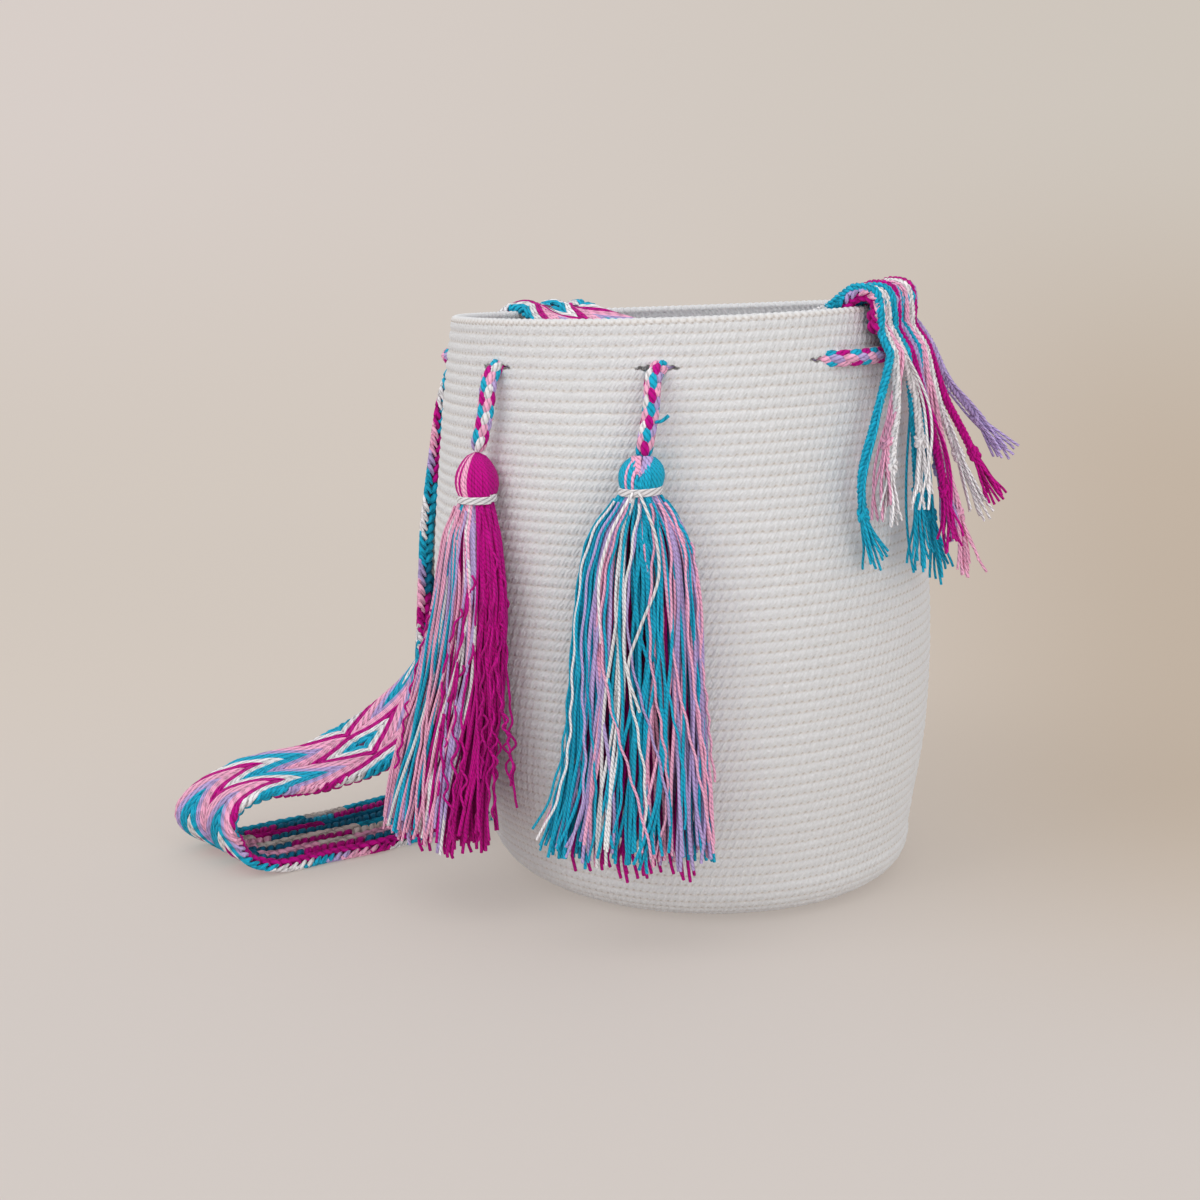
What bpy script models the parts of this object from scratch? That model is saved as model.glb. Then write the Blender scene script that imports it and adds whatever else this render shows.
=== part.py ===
"""Crocheted drawstring bucket bag with a plaited shoulder strap.

Metres, +Z up. The origin is the centre of the flat underside. The two tassels
hang at the front, which faces -Y. Azimuths are in degrees about +Z, 0 at the
front and growing towards +X.
"""
import math

import bmesh
import bpy
from mathutils import Vector

# Crocheted body
RIM_HEIGHT = 0.265
CORNER_RADIUS = 0.020
FOOT_RADIUS = 0.1005
LOW_HEIGHT = 0.070
LOW_RADIUS = 0.1125
BELLY_HEIGHT = 0.130
BELLY_RADIUS = 0.1160
SHOULDER_HEIGHT = 0.210
SHOULDER_RADIUS = 0.1100
RIM_RADIUS = 0.1042
WALL = 0.0040
BASE_THICKNESS = 0.0045
ROW_PITCH = 0.0046
ROW_RELIEF = 0.0010
BODY_SIDES = 24
INNER_RINGS = 6

# Slump of the soft body
LEAN = 0.0148
LEAN_AZIMUTH = -62.0
LEAN_HEIGHT = 0.190
ROW_TILT = 0.0564
ROW_TILT_AZIMUTH = 68.0
BACK_SAG = 0.0070
BACK_AZIMUTH = 208.0

# Eyelets and the drawstring laced through them
EYELET_AZIMUTHS = (21.2, 62.0, 106.0, 152.0, 198.0, 244.0, 290.0, 338.0)
EYELET_DEPTH = 0.0205
EYELET_WIDTH = 0.0210
EYELET_HEIGHT = 0.0110
CORD_DIAMETER = 0.0070
CORD_GAP = 0.0006
INNER_CORD_GAP = 0.0014
CROSSING_SPAN = 6.0
CROSSING_STEPS = 4
RUN_STEPS = 5

# Tassels
TASSEL_HEAD_HEIGHT = 0.0170
NECK_HALF_HEIGHT = 0.0025
NECK_HALF_WIDTH = 0.0080
NECK_HALF_DEPTH = 0.0068
HEAD_BULGE = 0.0012
TASSEL_SIDES = 18
LOBE_RELIEF = 0.07
TIE_HALF_HEIGHT = 0.0016
TIE_THICKNESS = 0.0016

# Strap
STRAP_WIDTH = 0.060
STRAP_THICKNESS = 0.0036
STRAP_RELIEF = 0.0004
STRAP_GAP = 0.0006
STRAP_COLUMNS = 6
STRAP_RING_PITCH = 0.0085
RIGHT_END_AZIMUTH = 88.0
RIGHT_END_DEPTH = 0.0108
LEFT_END_AZIMUTH = 220.0
LEFT_END_DEPTH = 0.0330
LEFT_END_TOP_DEPTH = 0.0120
CROSSING_AZIMUTH = 256.0
RIM_HUMP_HEIGHT = 0.0085
RIM_HUMP_REACH = 0.0075
LEFT_HUMP_HEIGHT = 0.0044
LEFT_HUMP_TILT = 0.05
MOUTH_SAG = 0.0120
FOLD_STAND_OFF = 0.0165

# Knotted ropes at each end of the strap
ROPE_DIAMETER = 0.0039
ROPE_GAP = 0.0004

TOUCH_GAP = 0.0003

CREAM = (0.80, 0.78, 0.76, 1.0)
TEAL = (0.010, 0.300, 0.440, 1.0)
PINK = (0.850, 0.350, 0.480, 1.0)
MAGENTA = (0.360, 0.010, 0.190, 1.0)
LAVENDER = (0.410, 0.290, 0.640, 1.0)
WHITE = (0.80, 0.78, 0.80, 1.0)
ROPE_COLOURS = (TEAL, WHITE, PINK, WHITE, TEAL, MAGENTA, LAVENDER, TEAL, PINK, WHITE, MAGENTA, LAVENDER)


def make_material(name, colour):
    """Return a matt yarn material."""
    material = bpy.data.materials.new(name)
    material.use_nodes = True
    shader = material.node_tree.nodes["Principled BSDF"]
    shader.inputs["Base Color"].default_value = colour
    shader.inputs["Roughness"].default_value = 0.9
    shader.inputs["Metallic"].default_value = 0.0
    return material


def add_object(name, mesh, material):
    """Link a mesh as a named object with its material."""
    mesh.materials.append(material)
    mesh.shade_smooth()
    mesh.set_sharp_from_angle(angle=math.radians(50))
    piece = bpy.data.objects.new(name, mesh)
    bpy.context.scene.collection.objects.link(piece)
    return piece


def hermite(u, low, high, low_slope, high_slope):
    """Cubic between two values with the given end slopes, u from 0 to 1."""
    return ((2 * u**3 - 3 * u**2 + 1) * low + (u**3 - 2 * u**2 + u) * low_slope
            + (3 * u**2 - 2 * u**3) * high + (u**3 - u**2) * high_slope)


def body_radius(height):
    """Radius of the wall's middle relief line at a height."""
    knots = ((CORNER_RADIUS, FOOT_RADIUS), (LOW_HEIGHT, LOW_RADIUS), (BELLY_HEIGHT, BELLY_RADIUS),
             (SHOULDER_HEIGHT, SHOULDER_RADIUS), (RIM_HEIGHT, RIM_RADIUS))
    height = min(max(height, knots[0][0]), knots[-1][0])
    slopes = []
    for index in range(len(knots)):
        before = knots[max(index - 1, 0)]
        after = knots[min(index + 1, len(knots) - 1)]
        slopes.append((after[1] - before[1]) / (after[0] - before[0]))
    for index in range(len(knots) - 1):
        low, high = knots[index], knots[index + 1]
        if height <= high[0]:
            span = high[0] - low[0]
            u = (height - low[0]) / span
            return hermite(u, low[1], high[1], slopes[index] * span, slopes[index + 1] * span)
    return RIM_RADIUS


def lean_shift(height):
    """Sideways shift of the body's centre line at a height."""
    u = min(max(height / LEAN_HEIGHT, 0.0), 1.0)
    shift = LEAN * (1.0 - (1.0 - u) ** 2)
    angle = math.radians(LEAN_AZIMUTH)
    return Vector((shift * math.sin(angle), -shift * math.cos(angle), 0.0))


def row_rise(azimuth, radius, height):
    """How far the slumped rows stand above or below their even height."""
    t = min(max((height - CORNER_RADIUS) / (RIM_HEIGHT - CORNER_RADIUS), 0.0), 1.0)
    tilt = ROW_TILT * t * (1.5 - 0.5 * t) * radius * math.cos(math.radians(azimuth - ROW_TILT_AZIMUTH))
    behind = 0.5 + 0.5 * math.cos(math.radians(azimuth - BACK_AZIMUTH))
    return tilt - BACK_SAG * t * t * behind * behind


def body_point(azimuth, radius, height):
    """Point at an azimuth, radius and even height of the slumped body."""
    angle = math.radians(azimuth)
    centre = lean_shift(height)
    return Vector((centre.x + radius * math.sin(angle), centre.y - radius * math.cos(angle),
                   height + row_rise(azimuth, radius, height)))


def wall_point(azimuth, out, height):
    """Point at a distance out from the wall's relief line."""
    return body_point(azimuth, body_radius(height) + out, height)


def outward(azimuth):
    """Unit vector straight out from the wall."""
    angle = math.radians(azimuth)
    return Vector((math.sin(angle), -math.cos(angle), 0.0))


def along(azimuth):
    """Unit vector round the wall, towards growing azimuth."""
    angle = math.radians(azimuth)
    return Vector((math.cos(angle), math.sin(angle), 0.0))


def loft(bm, rings, cap_start=True, cap_end=True):
    """Join closed rings of points, in order, into one tube with flat ends."""
    loops = [[bm.verts.new(point) for point in ring] for ring in rings]
    for lower, upper in zip(loops, loops[1:]):
        count = len(lower)
        for index in range(count):
            following = (index + 1) % count
            bm.faces.new((lower[index], lower[following], upper[following], upper[index]))
    if cap_start:
        bm.faces.new(list(reversed(loops[0])))
    if cap_end:
        bm.faces.new(loops[-1])
    return loops


def mesh_from(bm, name):
    """Turn a bmesh into a mesh whose faces point out."""
    bmesh.ops.recalc_face_normals(bm, faces=bm.faces)
    if bm.calc_volume(signed=True) < 0:
        bmesh.ops.reverse_faces(bm, faces=bm.faces)
    mesh = bpy.data.meshes.new(name)
    bm.to_mesh(mesh)
    bm.free()
    return mesh


def smooth_path(points, values, pitch):
    """Points of a smooth curve through the given points about a pitch apart, and values along it."""
    spans = [math.sqrt((after - before).length) for before, after in zip(points, points[1:])]
    smooth, carried = [], []
    for index, span in enumerate(spans):
        low_span = spans[max(index - 1, 0)]
        high_span = spans[min(index + 1, len(spans) - 1)]
        steps = max(1, round(span * span / pitch))
        for series, out in ((points, smooth), (values, carried)):
            p1, p2 = series[index], series[index + 1]
            p0 = series[index - 1] if index else p1 * 2 - p2
            p3 = series[index + 2] if index + 2 < len(series) else p2 * 2 - p1
            low_slope = (p1 - p0) * (span / low_span) - (p2 - p0) * (span / (low_span + span)) + (p2 - p1)
            high_slope = (p2 - p1) - (p3 - p1) * (span / (span + high_span)) + (p3 - p2) * (span / high_span)
            out.extend(hermite(step / steps, p1, p2, low_slope, high_slope) for step in range(steps))
    smooth.append(points[-1].copy())
    carried.append(values[-1].copy())
    return smooth, carried


def outer_profile():
    """Radius offset and height down the ridged outside, from the rim to the flat underside."""
    wall_length = RIM_HEIGHT - CORNER_RADIUS
    corner_length = 0.5 * math.pi * CORNER_RADIUS
    half_rows = int((wall_length + corner_length) / (0.5 * ROW_PITCH))
    rings = []
    for index in range(1, half_rows):
        distance = index * 0.5 * ROW_PITCH
        relief = 0.5 * ROW_RELIEF if index % 2 else -0.5 * ROW_RELIEF
        if distance <= wall_length:
            height = RIM_HEIGHT - distance
            rings.append((body_radius(height) + relief, height))
        else:
            angle = (distance - wall_length) / CORNER_RADIUS
            reach = CORNER_RADIUS + relief
            radius = FOOT_RADIUS - CORNER_RADIUS + reach * math.cos(angle)
            rings.append((radius, CORNER_RADIUS - reach * math.sin(angle)))
    flat_radius = FOOT_RADIUS - CORNER_RADIUS
    rings = [ring for ring in rings if ring[1] > TOUCH_GAP]
    rings.append((flat_radius, 0.0))
    return rings


def inner_profile():
    """Radius and height up the smooth inside, from the floor of the bag to the rim."""
    corner = CORNER_RADIUS - BASE_THICKNESS
    rings = [(FOOT_RADIUS - WALL - corner, BASE_THICKNESS)]
    for step in (1, 2, 3):
        angle = step * math.pi / 6
        rings.append((FOOT_RADIUS - WALL - corner + corner * math.sin(angle),
                      CORNER_RADIUS - corner * math.cos(angle)))
    top = RIM_HEIGHT - 0.3 * WALL
    for step in range(1, INNER_RINGS + 1):
        height = CORNER_RADIUS + (top - CORNER_RADIUS) * step / INNER_RINGS
        rings.append((body_radius(height) - WALL, height))
    return rings


def make_body(material):
    """One crocheted piece: base and wall in rows, with a slit at each eyelet."""
    profile = list(reversed(outer_profile()))
    profile.append((RIM_RADIUS - 0.25 * WALL, RIM_HEIGHT))
    profile.append((RIM_RADIUS - 0.75 * WALL, RIM_HEIGHT))
    profile.extend(reversed(inner_profile()))
    rings = []
    for radius, height in profile:
        rings.append([body_point(360.0 * side / BODY_SIDES, radius, height) for side in range(BODY_SIDES)])
    bm = bmesh.new()
    loft(bm, rings)
    body = add_object("bag_body", mesh_from(bm, "bag_body"), material)
    cutter = make_eyelet_cutter(material)
    cut = body.modifiers.new("eyelets", "BOOLEAN")
    cut.operation = "DIFFERENCE"
    cut.object = cutter
    return body


def make_eyelet_cutter(material):
    """Lens-shaped prisms through the wall, one for each eyelet."""
    half_width, half_height = 0.5 * EYELET_WIDTH, 0.5 * EYELET_HEIGHT
    outline = ((-1.0, -0.4), (-0.78, -1.0), (0.78, -1.0), (1.0, -0.4),
               (1.0, 0.4), (0.78, 1.0), (-0.78, 1.0), (-1.0, 0.4))
    bm = bmesh.new()
    for azimuth in EYELET_AZIMUTHS:
        centre = wall_point(azimuth, -0.5 * WALL, RIM_HEIGHT - EYELET_DEPTH)
        rings = []
        for reach in (-1.5 * WALL, 1.5 * WALL):
            middle = centre + outward(azimuth) * reach
            rings.append([middle + along(azimuth) * (half_width * across)
                          + Vector((0.0, 0.0, half_height * up)) for across, up in outline])
        loft(bm, rings)
    cutter = add_object("eyelet_cutter", mesh_from(bm, "eyelet_cutter"), material)
    cutter.hide_render = True
    cutter.display_type = "WIRE"
    return cutter


# Each point of the two free ends: azimuth, distance of the cord's middle out from the
# wall in millimetres, and how far below the eyelets' middle it is, in millimetres.
RIGHT_CORD_END = ((33.0, -8.9, 0.0), (29.0, -8.9, -0.2), (25.5, -7.7, -0.6), (22.9, -4.2, -0.5),
                  (21.1, 1.0, 0.9), (20.5, 5.2, 4.6), (20.4, 6.8, 10.5), (20.2, 7.1, 17.5),
                  (19.6, 7.6, 25.5), (19.0, 8.8, 34.5))
LEFT_CORD_END = ((-33.0, -8.9, 0.0), (-29.0, -8.9, -0.2), (-25.5, -7.7, -0.6), (-22.9, -4.2, -0.5),
                 (-21.0, 1.0, 0.9), (-20.2, 5.2, 4.6), (-19.6, 6.8, 10.5), (-19.6, 7.1, 17.5),
                 (-20.1, 7.6, 26.5), (-20.7, 8.8, 36.0))


def cord_end_points(end):
    """World points of one free end of the drawstring."""
    height = RIM_HEIGHT - EYELET_DEPTH
    return [wall_point(azimuth, out / 1000, height - down / 1000) for azimuth, out, down in end]


def lacing_out(azimuth):
    """How far out the laced cord runs at an azimuth, outside or inside the wall."""
    outside = 0.5 * ROW_RELIEF + CORD_GAP + 0.5 * CORD_DIAMETER
    inside = -(WALL + INNER_CORD_GAP + 0.5 * CORD_DIAMETER)
    side = -1.0
    for index, eyelet in enumerate(EYELET_AZIMUTHS[1:-1]):
        u = min(max((azimuth - eyelet + CROSSING_SPAN) / (2 * CROSSING_SPAN), 0.0), 1.0)
        turn = u * u * (3 - 2 * u)
        side += 2 * turn if index % 2 == 0 else -2 * turn
    return 0.5 * (outside + inside) + 0.5 * side * (outside - inside)


def spread(first, last, steps):
    """Even values from first to last, both included."""
    return [first + (last - first) * step / steps for step in range(steps + 1)]


def drawstring_route():
    """World points of the whole drawstring, from the right tassel round to the left one."""
    points = list(reversed(cord_end_points(RIGHT_CORD_END)))
    azimuths = []
    run_start = RIGHT_CORD_END[0][0]
    for eyelet in EYELET_AZIMUTHS[1:-1]:
        azimuths.extend(spread(run_start, eyelet - CROSSING_SPAN, RUN_STEPS)[1:])
        azimuths.extend(spread(eyelet - CROSSING_SPAN, eyelet + CROSSING_SPAN, CROSSING_STEPS)[1:])
        run_start = eyelet + CROSSING_SPAN
    azimuths.extend(spread(run_start, 360.0 + LEFT_CORD_END[0][0], RUN_STEPS)[1:-1])
    for azimuth in azimuths:
        points.append(wall_point(azimuth, lacing_out(azimuth), RIM_HEIGHT - EYELET_DEPTH))
    points.extend(cord_end_points(LEFT_CORD_END))
    return points


def make_drawstring(material):
    """The one braided cord, laced round the bag with both ends hanging in front."""
    points = drawstring_route()
    curve = bpy.data.curves.new("drawstring", "CURVE")
    curve.dimensions = "3D"
    curve.bevel_depth = 0.5 * CORD_DIAMETER
    curve.bevel_resolution = 2
    curve.use_fill_caps = True
    curve.render_resolution_u = 0
    spline = curve.splines.new("POLY")
    spline.points.add(len(points) - 1)
    for control, point in zip(spline.points, points):
        control.co = (point.x, point.y, point.z, 1.0)
    curve.materials.append(material)
    cord = bpy.data.objects.new("drawstring", curve)
    bpy.context.scene.collection.objects.link(cord)
    return cord


# Each section of a skirt: azimuth and distance out from the wall of its middle, its
# drop below the neck, and its half width and half depth, lengths in millimetres.
LEFT_SKIRT = ((-18.6, 12.0, 14.0, 11.5, 8.0), (-18.8, 12.8, 44.0, 16.5, 8.5), (-23.0, 13.0, 78.0, 22.5, 9.0),
              (-27.0, 18.0, 106.0, 26.5, 11.5), (-29.5, 28.0, 134.0, 28.5, 14.5), (-31.0, 36.5, 157.0, 29.0, 17.0))
RIGHT_SKIRT = ((18.7, 12.0, 14.0, 14.0, 8.0), (18.7, 12.8, 42.0, 23.0, 8.5), (18.0, 12.8, 74.0, 28.0, 9.0),
               (17.0, 14.5, 104.0, 31.0, 10.0), (15.5, 18.5, 130.0, 33.5, 11.0), (13.5, 23.5, 155.0, 35.0, 12.0))
LEFT_NECK_AZIMUTH = -18.6
RIGHT_NECK_AZIMUTH = 18.7
NECK_OUT = 0.0108


def neck_centre(cord_end, neck_azimuth):
    """Middle of a tassel's neck, under the end of its cord."""
    height = RIM_HEIGHT - EYELET_DEPTH - cord_end[-1][2] / 1000 - TOUCH_GAP - TASSEL_HEAD_HEIGHT
    return wall_point(neck_azimuth, NECK_OUT, height), height


def tassel_section(centre, azimuth, half_width, half_depth, lobes):
    """One closed section of a tassel, ribbed where the yarns hang in bundles."""
    ring = []
    for side in range(TASSEL_SIDES):
        angle = 2 * math.pi * side / TASSEL_SIDES
        relief = 1.0 + lobes * (1 if side % 2 else -1)
        ring.append(centre + along(azimuth) * (half_width * relief * math.cos(angle))
                    + outward(azimuth) * (half_depth * relief * math.sin(angle)))
    return ring


def make_tassel(name, cord_end, neck_azimuth, skirt, material):
    """Head, neck and skirt of one tassel as one soft solid."""
    top = cord_end_points(cord_end)[-1]
    neck, neck_height = neck_centre(cord_end, neck_azimuth)
    axis = neck - (top - Vector((0.0, 0.0, TOUCH_GAP + CORD_GAP)))
    head = ((0.0, 0.55, 0.0), (0.16, 0.92, 0.0), (0.48, 1.0, 0.0), (0.78, 0.9, 0.0))
    rings = []
    for share, swell, lobes in head:
        centre = neck - axis * (1 - share)
        rings.append(tassel_section(centre, neck_azimuth, (NECK_HALF_WIDTH + HEAD_BULGE) * swell,
                                    (NECK_HALF_DEPTH + HEAD_BULGE) * swell, lobes))
    for offset in (NECK_HALF_HEIGHT, -NECK_HALF_HEIGHT):
        rings.append(tassel_section(neck + Vector((0.0, 0.0, offset)), neck_azimuth,
                                    NECK_HALF_WIDTH, NECK_HALF_DEPTH, 0.0))
    for azimuth, out, drop, half_width, half_depth in skirt:
        centre = wall_point(azimuth, out / 1000, neck_height - drop / 1000)
        rings.append(tassel_section(centre, azimuth, half_width / 1000, half_depth / 1000, LOBE_RELIEF))
    bm = bmesh.new()
    loft(bm, rings)
    return add_object(name, mesh_from(bm, name), material)


def make_tie(name, cord_end, neck_azimuth, material):
    """The white yarn bound round a tassel's neck."""
    neck, _ = neck_centre(cord_end, neck_azimuth)
    inner = TOUCH_GAP
    outer = TOUCH_GAP + TIE_THICKNESS
    mid = 0.5 * (inner + outer)
    section = ((inner, 0.7), (mid, 1.0), (outer, 0.5), (outer, -0.5), (mid, -1.0), (inner, -0.7))
    rings = []
    for reach, up in section:
        centre = neck + Vector((0.0, 0.0, up * TIE_HALF_HEIGHT))
        rings.append(tassel_section(centre, neck_azimuth, NECK_HALF_WIDTH + reach, NECK_HALF_DEPTH + reach, 0.0))
    rings.append(rings[0])
    bm = bmesh.new()
    loops = [[bm.verts.new(point) for point in ring] for ring in rings[:-1]]
    loops.append(loops[0])
    for lower, upper in zip(loops, loops[1:]):
        for index in range(TASSEL_SIDES):
            following = (index + 1) % TASSEL_SIDES
            bm.faces.new((lower[index], lower[following], upper[following], upper[index]))
    return add_object(name, mesh_from(bm, name), material)


STRAP_OUT = 0.5 * ROW_RELIEF + STRAP_GAP + 0.5 * STRAP_THICKNESS + STRAP_RELIEF

# Down the left side of the wall: azimuth, distance out and height in millimetres.
LEFT_SIDE_RUN = ((257.2, 10.0, 255.0), (258.9, 11.4, 243.0), (261.6, 10.6, 229.0), (265.0, 8.6, 212.0),
                 (269.2, 6.8, 190.0), (273.2, 5.8, 165.0), (277.0, 6.0, 135.0))

# The free stretch on the floor: middle of the band and its direction from the edge
# nearer the front to the other edge, in millimetres and as parts of a unit.
FLOOR_RUN = (((-138.0, -30.0, 98.0), (-0.32, 0.93, 0.12)),
             ((-144.0, -42.0, 68.0), (-0.54, 0.80, 0.22)),
             ((-153.5, -60.5, 49.0), (-0.62, 0.75, 0.20)),
             ((-167.0, -82.0, 41.0), (-0.57, 0.81, 0.06)),
             ((-181.5, -101.5, 39.5), (-0.67, 0.74, 0.00)),
             ((-188.5, -113.5, 38.5), (-0.74, 0.67, -0.04)),
             ((-196.5, -126.0, 33.0), (-0.83, 0.55, -0.08)),
             ((-200.0, -131.5, 20.5), (-0.90, 0.40, -0.12)),
             ((-196.0, -125.5, 8.5), (-0.89, 0.43, -0.05)),
             ((-187.0, -112.0, 3.0), (-0.88, 0.46, 0.00)),
             ((-176.0, -91.0, 2.6), (-0.87, 0.49, 0.00)),
             ((-163.0, -68.5, 2.6), (-0.86, 0.51, 0.00)),
             ((-153.5, -45.0, 2.6), (-0.88, 0.47, 0.00)),
             ((-145.5, -22.0, 2.6), (-0.92, 0.38, 0.00)),
             ((-128.0, 25.0, 2.6), (-0.935, 0.355, 0.00)),
             ((-114.0, 60.0, 3.2), (-0.935, 0.355, 0.00)),
             ((-103.5, 87.0, 12.0), (-0.935, 0.355, 0.00)),
             ((-98.5, 102.5, 36.0), (-0.935, 0.355, 0.00)),
             ((-97.0, 107.5, 66.0), (-0.94, 0.34, 0.00)))

# Up the back to the left end: azimuth, distance out, height and turn of the band from
# straight out to flat along the wall, in millimetres and degrees.
BACK_RUN = ((217.5, 26.0, 100.0, 55.0), (218.5, 22.0, 140.0, 72.0), (219.3, 18.5, 180.0, 86.0),
            (220.0, 17.0, 215.0, 90.0), (220.0, 16.6, 238.0, 90.0))


def strap_stations():
    """Middle of the band and its width direction along the strap, right end to left end."""
    stations = []

    def on_wall(azimuth, out, height):
        stations.append((wall_point(azimuth, out, height), along(azimuth)))

    for share in (0.0, 0.35, 0.7):
        on_wall(RIGHT_END_AZIMUTH, STRAP_OUT, RIM_HEIGHT - RIGHT_END_DEPTH * (1 - share))
    middle_out = -0.5 * WALL
    for angle in (20, 60, 100, 140):
        turn = math.radians(angle)
        on_wall(RIGHT_END_AZIMUTH, middle_out + RIM_HUMP_REACH * math.cos(turn),
                RIM_HEIGHT + RIM_HUMP_HEIGHT * math.sin(turn))
    start = wall_point(RIGHT_END_AZIMUTH, -2.2 * RIM_HUMP_REACH, RIM_HEIGHT)
    finish = wall_point(CROSSING_AZIMUTH, -1.8 * RIM_HUMP_REACH, RIM_HEIGHT)
    for step in range(7):
        share = step / 6
        middle = start.lerp(finish, share)
        middle.z -= 4 * MOUTH_SAG * share * (1 - share) + 0.002
        width = along(RIGHT_END_AZIMUTH).lerp(-along(CROSSING_AZIMUTH), share)
        stations.append((middle, width.normalized()))
    hump_width = (-along(CROSSING_AZIMUTH) - Vector((0.0, 0.0, LEFT_HUMP_TILT))).normalized()
    for angle in (140, 90, 40):
        turn = math.radians(angle)
        middle = wall_point(CROSSING_AZIMUTH, middle_out + RIM_HUMP_REACH * math.cos(turn),
                            RIM_HEIGHT + LEFT_HUMP_HEIGHT * math.sin(turn))
        stations.append((middle, hump_width))
    for azimuth, out, height in LEFT_SIDE_RUN:
        stations.append((wall_point(azimuth, out / 1000, height / 1000), -along(azimuth)))
    for middle, width in FLOOR_RUN:
        stations.append((Vector(middle) / 1000, Vector(width).normalized()))
    for azimuth, out, height, turn in BACK_RUN:
        angle = math.radians(turn)
        width = outward(azimuth) * math.cos(angle) + along(azimuth) * math.sin(angle)
        stations.append((wall_point(azimuth, out / 1000, height / 1000), width))
    stations.extend(left_end_stations())
    return stations


def left_end_stations():
    """The fold at the left end and the stretch sewn to the wall under it."""
    stations = []
    top = RIM_HEIGHT - LEFT_END_TOP_DEPTH
    middle_out = 0.5 * (STRAP_OUT + FOLD_STAND_OFF)
    half = 0.5 * (FOLD_STAND_OFF - STRAP_OUT)
    for angle in (0, 45, 90, 135, 180):
        turn = math.radians(angle)
        stations.append((wall_point(LEFT_END_AZIMUTH, middle_out + half * math.cos(turn),
                                    top + half * math.sin(turn)), along(LEFT_END_AZIMUTH)))
    for depth in (0.5 * (LEFT_END_TOP_DEPTH + LEFT_END_DEPTH), LEFT_END_DEPTH):
        stations.append((wall_point(LEFT_END_AZIMUTH, STRAP_OUT, RIM_HEIGHT - depth), along(LEFT_END_AZIMUTH)))
    return stations


def make_strap(material):
    """The plaited band, one piece from end to end, with a quilted relief."""
    stations = strap_stations()
    middles, widths = smooth_path([middle for middle, _ in stations], [width for _, width in stations],
                                  STRAP_RING_PITCH)
    rings = []
    for index, (middle, width) in enumerate(zip(middles, widths)):
        before = middles[max(index - 1, 0)]
        after = middles[min(index + 1, len(middles) - 1)]
        tangent = (after - before).normalized()
        width = (width - tangent * width.dot(tangent)).normalized()
        normal = tangent.cross(width)
        ring = []
        for side in (1, -1):
            for column in range(STRAP_COLUMNS + 1):
                share = column / STRAP_COLUMNS if side > 0 else 1 - column / STRAP_COLUMNS
                if side < 0 and column in (0, STRAP_COLUMNS):
                    continue
                edge = column in (0, STRAP_COLUMNS)
                relief = STRAP_RELIEF if (column + index) % 2 else -STRAP_RELIEF
                thickness = 0.0 if edge else 0.5 * STRAP_THICKNESS + relief
                ring.append(middle + width * (STRAP_WIDTH * (share - 0.5)) + normal * (side * thickness))
        rings.append(ring)
    bm = bmesh.new()
    loft(bm, rings)
    return add_object("strap", mesh_from(bm, "strap"), material)


# Each rope of an end: how far its tip swings round the wall in degrees, and how far the
# tip stands out from the wall and hangs below the strap's end, in millimetres.
RIGHT_ROPES = ((-3, 9, 98), (-4, 17, 88), (-2, 12, 99), (-3, 24, 84), (-1, 15, 104), (-2, 34, 100),
               (0, 22, 104), (1, 14, 106), (0, 36, 106), (2, 26, 92), (2, 42, 90), (4, 38, 70))
LEFT_ROPES = ((-13, 4, 92), (-10, 5, 98), (-8, 4, 88), (-5, 5, 99), (-3, 4, 94), (-1, 5, 101),
              (1, 4, 96), (3, 5, 90), (5, 4, 98), (8, 5, 93), (10, 4, 100), (13, 5, 91))
CORD_SHOULDER = 0.0077
ROPE_START = 0.0012
ROPE_SHOULDER_DROP = 0.0100


def rope_path(azimuth, offset, depth, tip, shoulder):
    """Middle line of one rope, over the drawstring where that lies beneath it."""
    swing, stand_off, length = tip[0], tip[1] / 1000, tip[2] / 1000
    start_height = RIM_HEIGHT - depth
    own_azimuth = azimuth + math.degrees(offset / (body_radius(start_height) + STRAP_OUT))
    first = (wall_point(azimuth, STRAP_OUT, start_height) + along(azimuth) * offset
             - Vector((0.0, 0.0, TOUCH_GAP)))
    apart = first - wall_point(own_azimuth, STRAP_OUT, start_height)
    path = [first, first - Vector((0.0, 0.0, ROPE_START))]
    for drop, reach, fade in ((0.0028, 0.35, 0.95), (0.0050, 0.74, 0.9), (0.0085, 0.98, 0.8)):
        path.append(wall_point(own_azimuth, STRAP_OUT + shoulder * reach, start_height - drop) + apart * fade)
    for share, fade in ((0.3, 0.4), (0.52, 0.1), (0.70, 0.0), (0.76, 0.0), (0.82, 0.0), (1.0, 0.0)):
        ease = share ** 1.3
        out = STRAP_OUT + shoulder * (1 - ease) + stand_off * ease
        drop = ROPE_SHOULDER_DROP + (length - ROPE_SHOULDER_DROP) * share
        path.append(wall_point(own_azimuth + swing * ease, out, start_height - drop) + apart * fade)
    return path


def make_rope(name, path, material):
    """One twisted rope of the strap's yarns, with a knot and a loose end."""
    swells = [1.0] * (len(path) - 3) + [1.7, 1.0, 1.6]
    rings = []
    for index, (point, swell) in enumerate(zip(path, swells)):
        before = path[max(index - 1, 0)]
        after = path[min(index + 1, len(path) - 1)]
        tangent = (after - before).normalized()
        if index == 0:
            tangent = Vector((0.0, 0.0, -1.0))
        side = tangent.cross(Vector((path[0].x, path[0].y, 0.0))).normalized()
        up = side.cross(tangent)
        radius = 0.5 * ROPE_DIAMETER * swell
        rings.append([point + side * (radius * math.cos(math.pi / 3 * corner))
                      + up * (radius * math.sin(math.pi / 3 * corner)) for corner in range(6)])
    bm = bmesh.new()
    loft(bm, rings)
    return add_object(name, mesh_from(bm, name), material)


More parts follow.
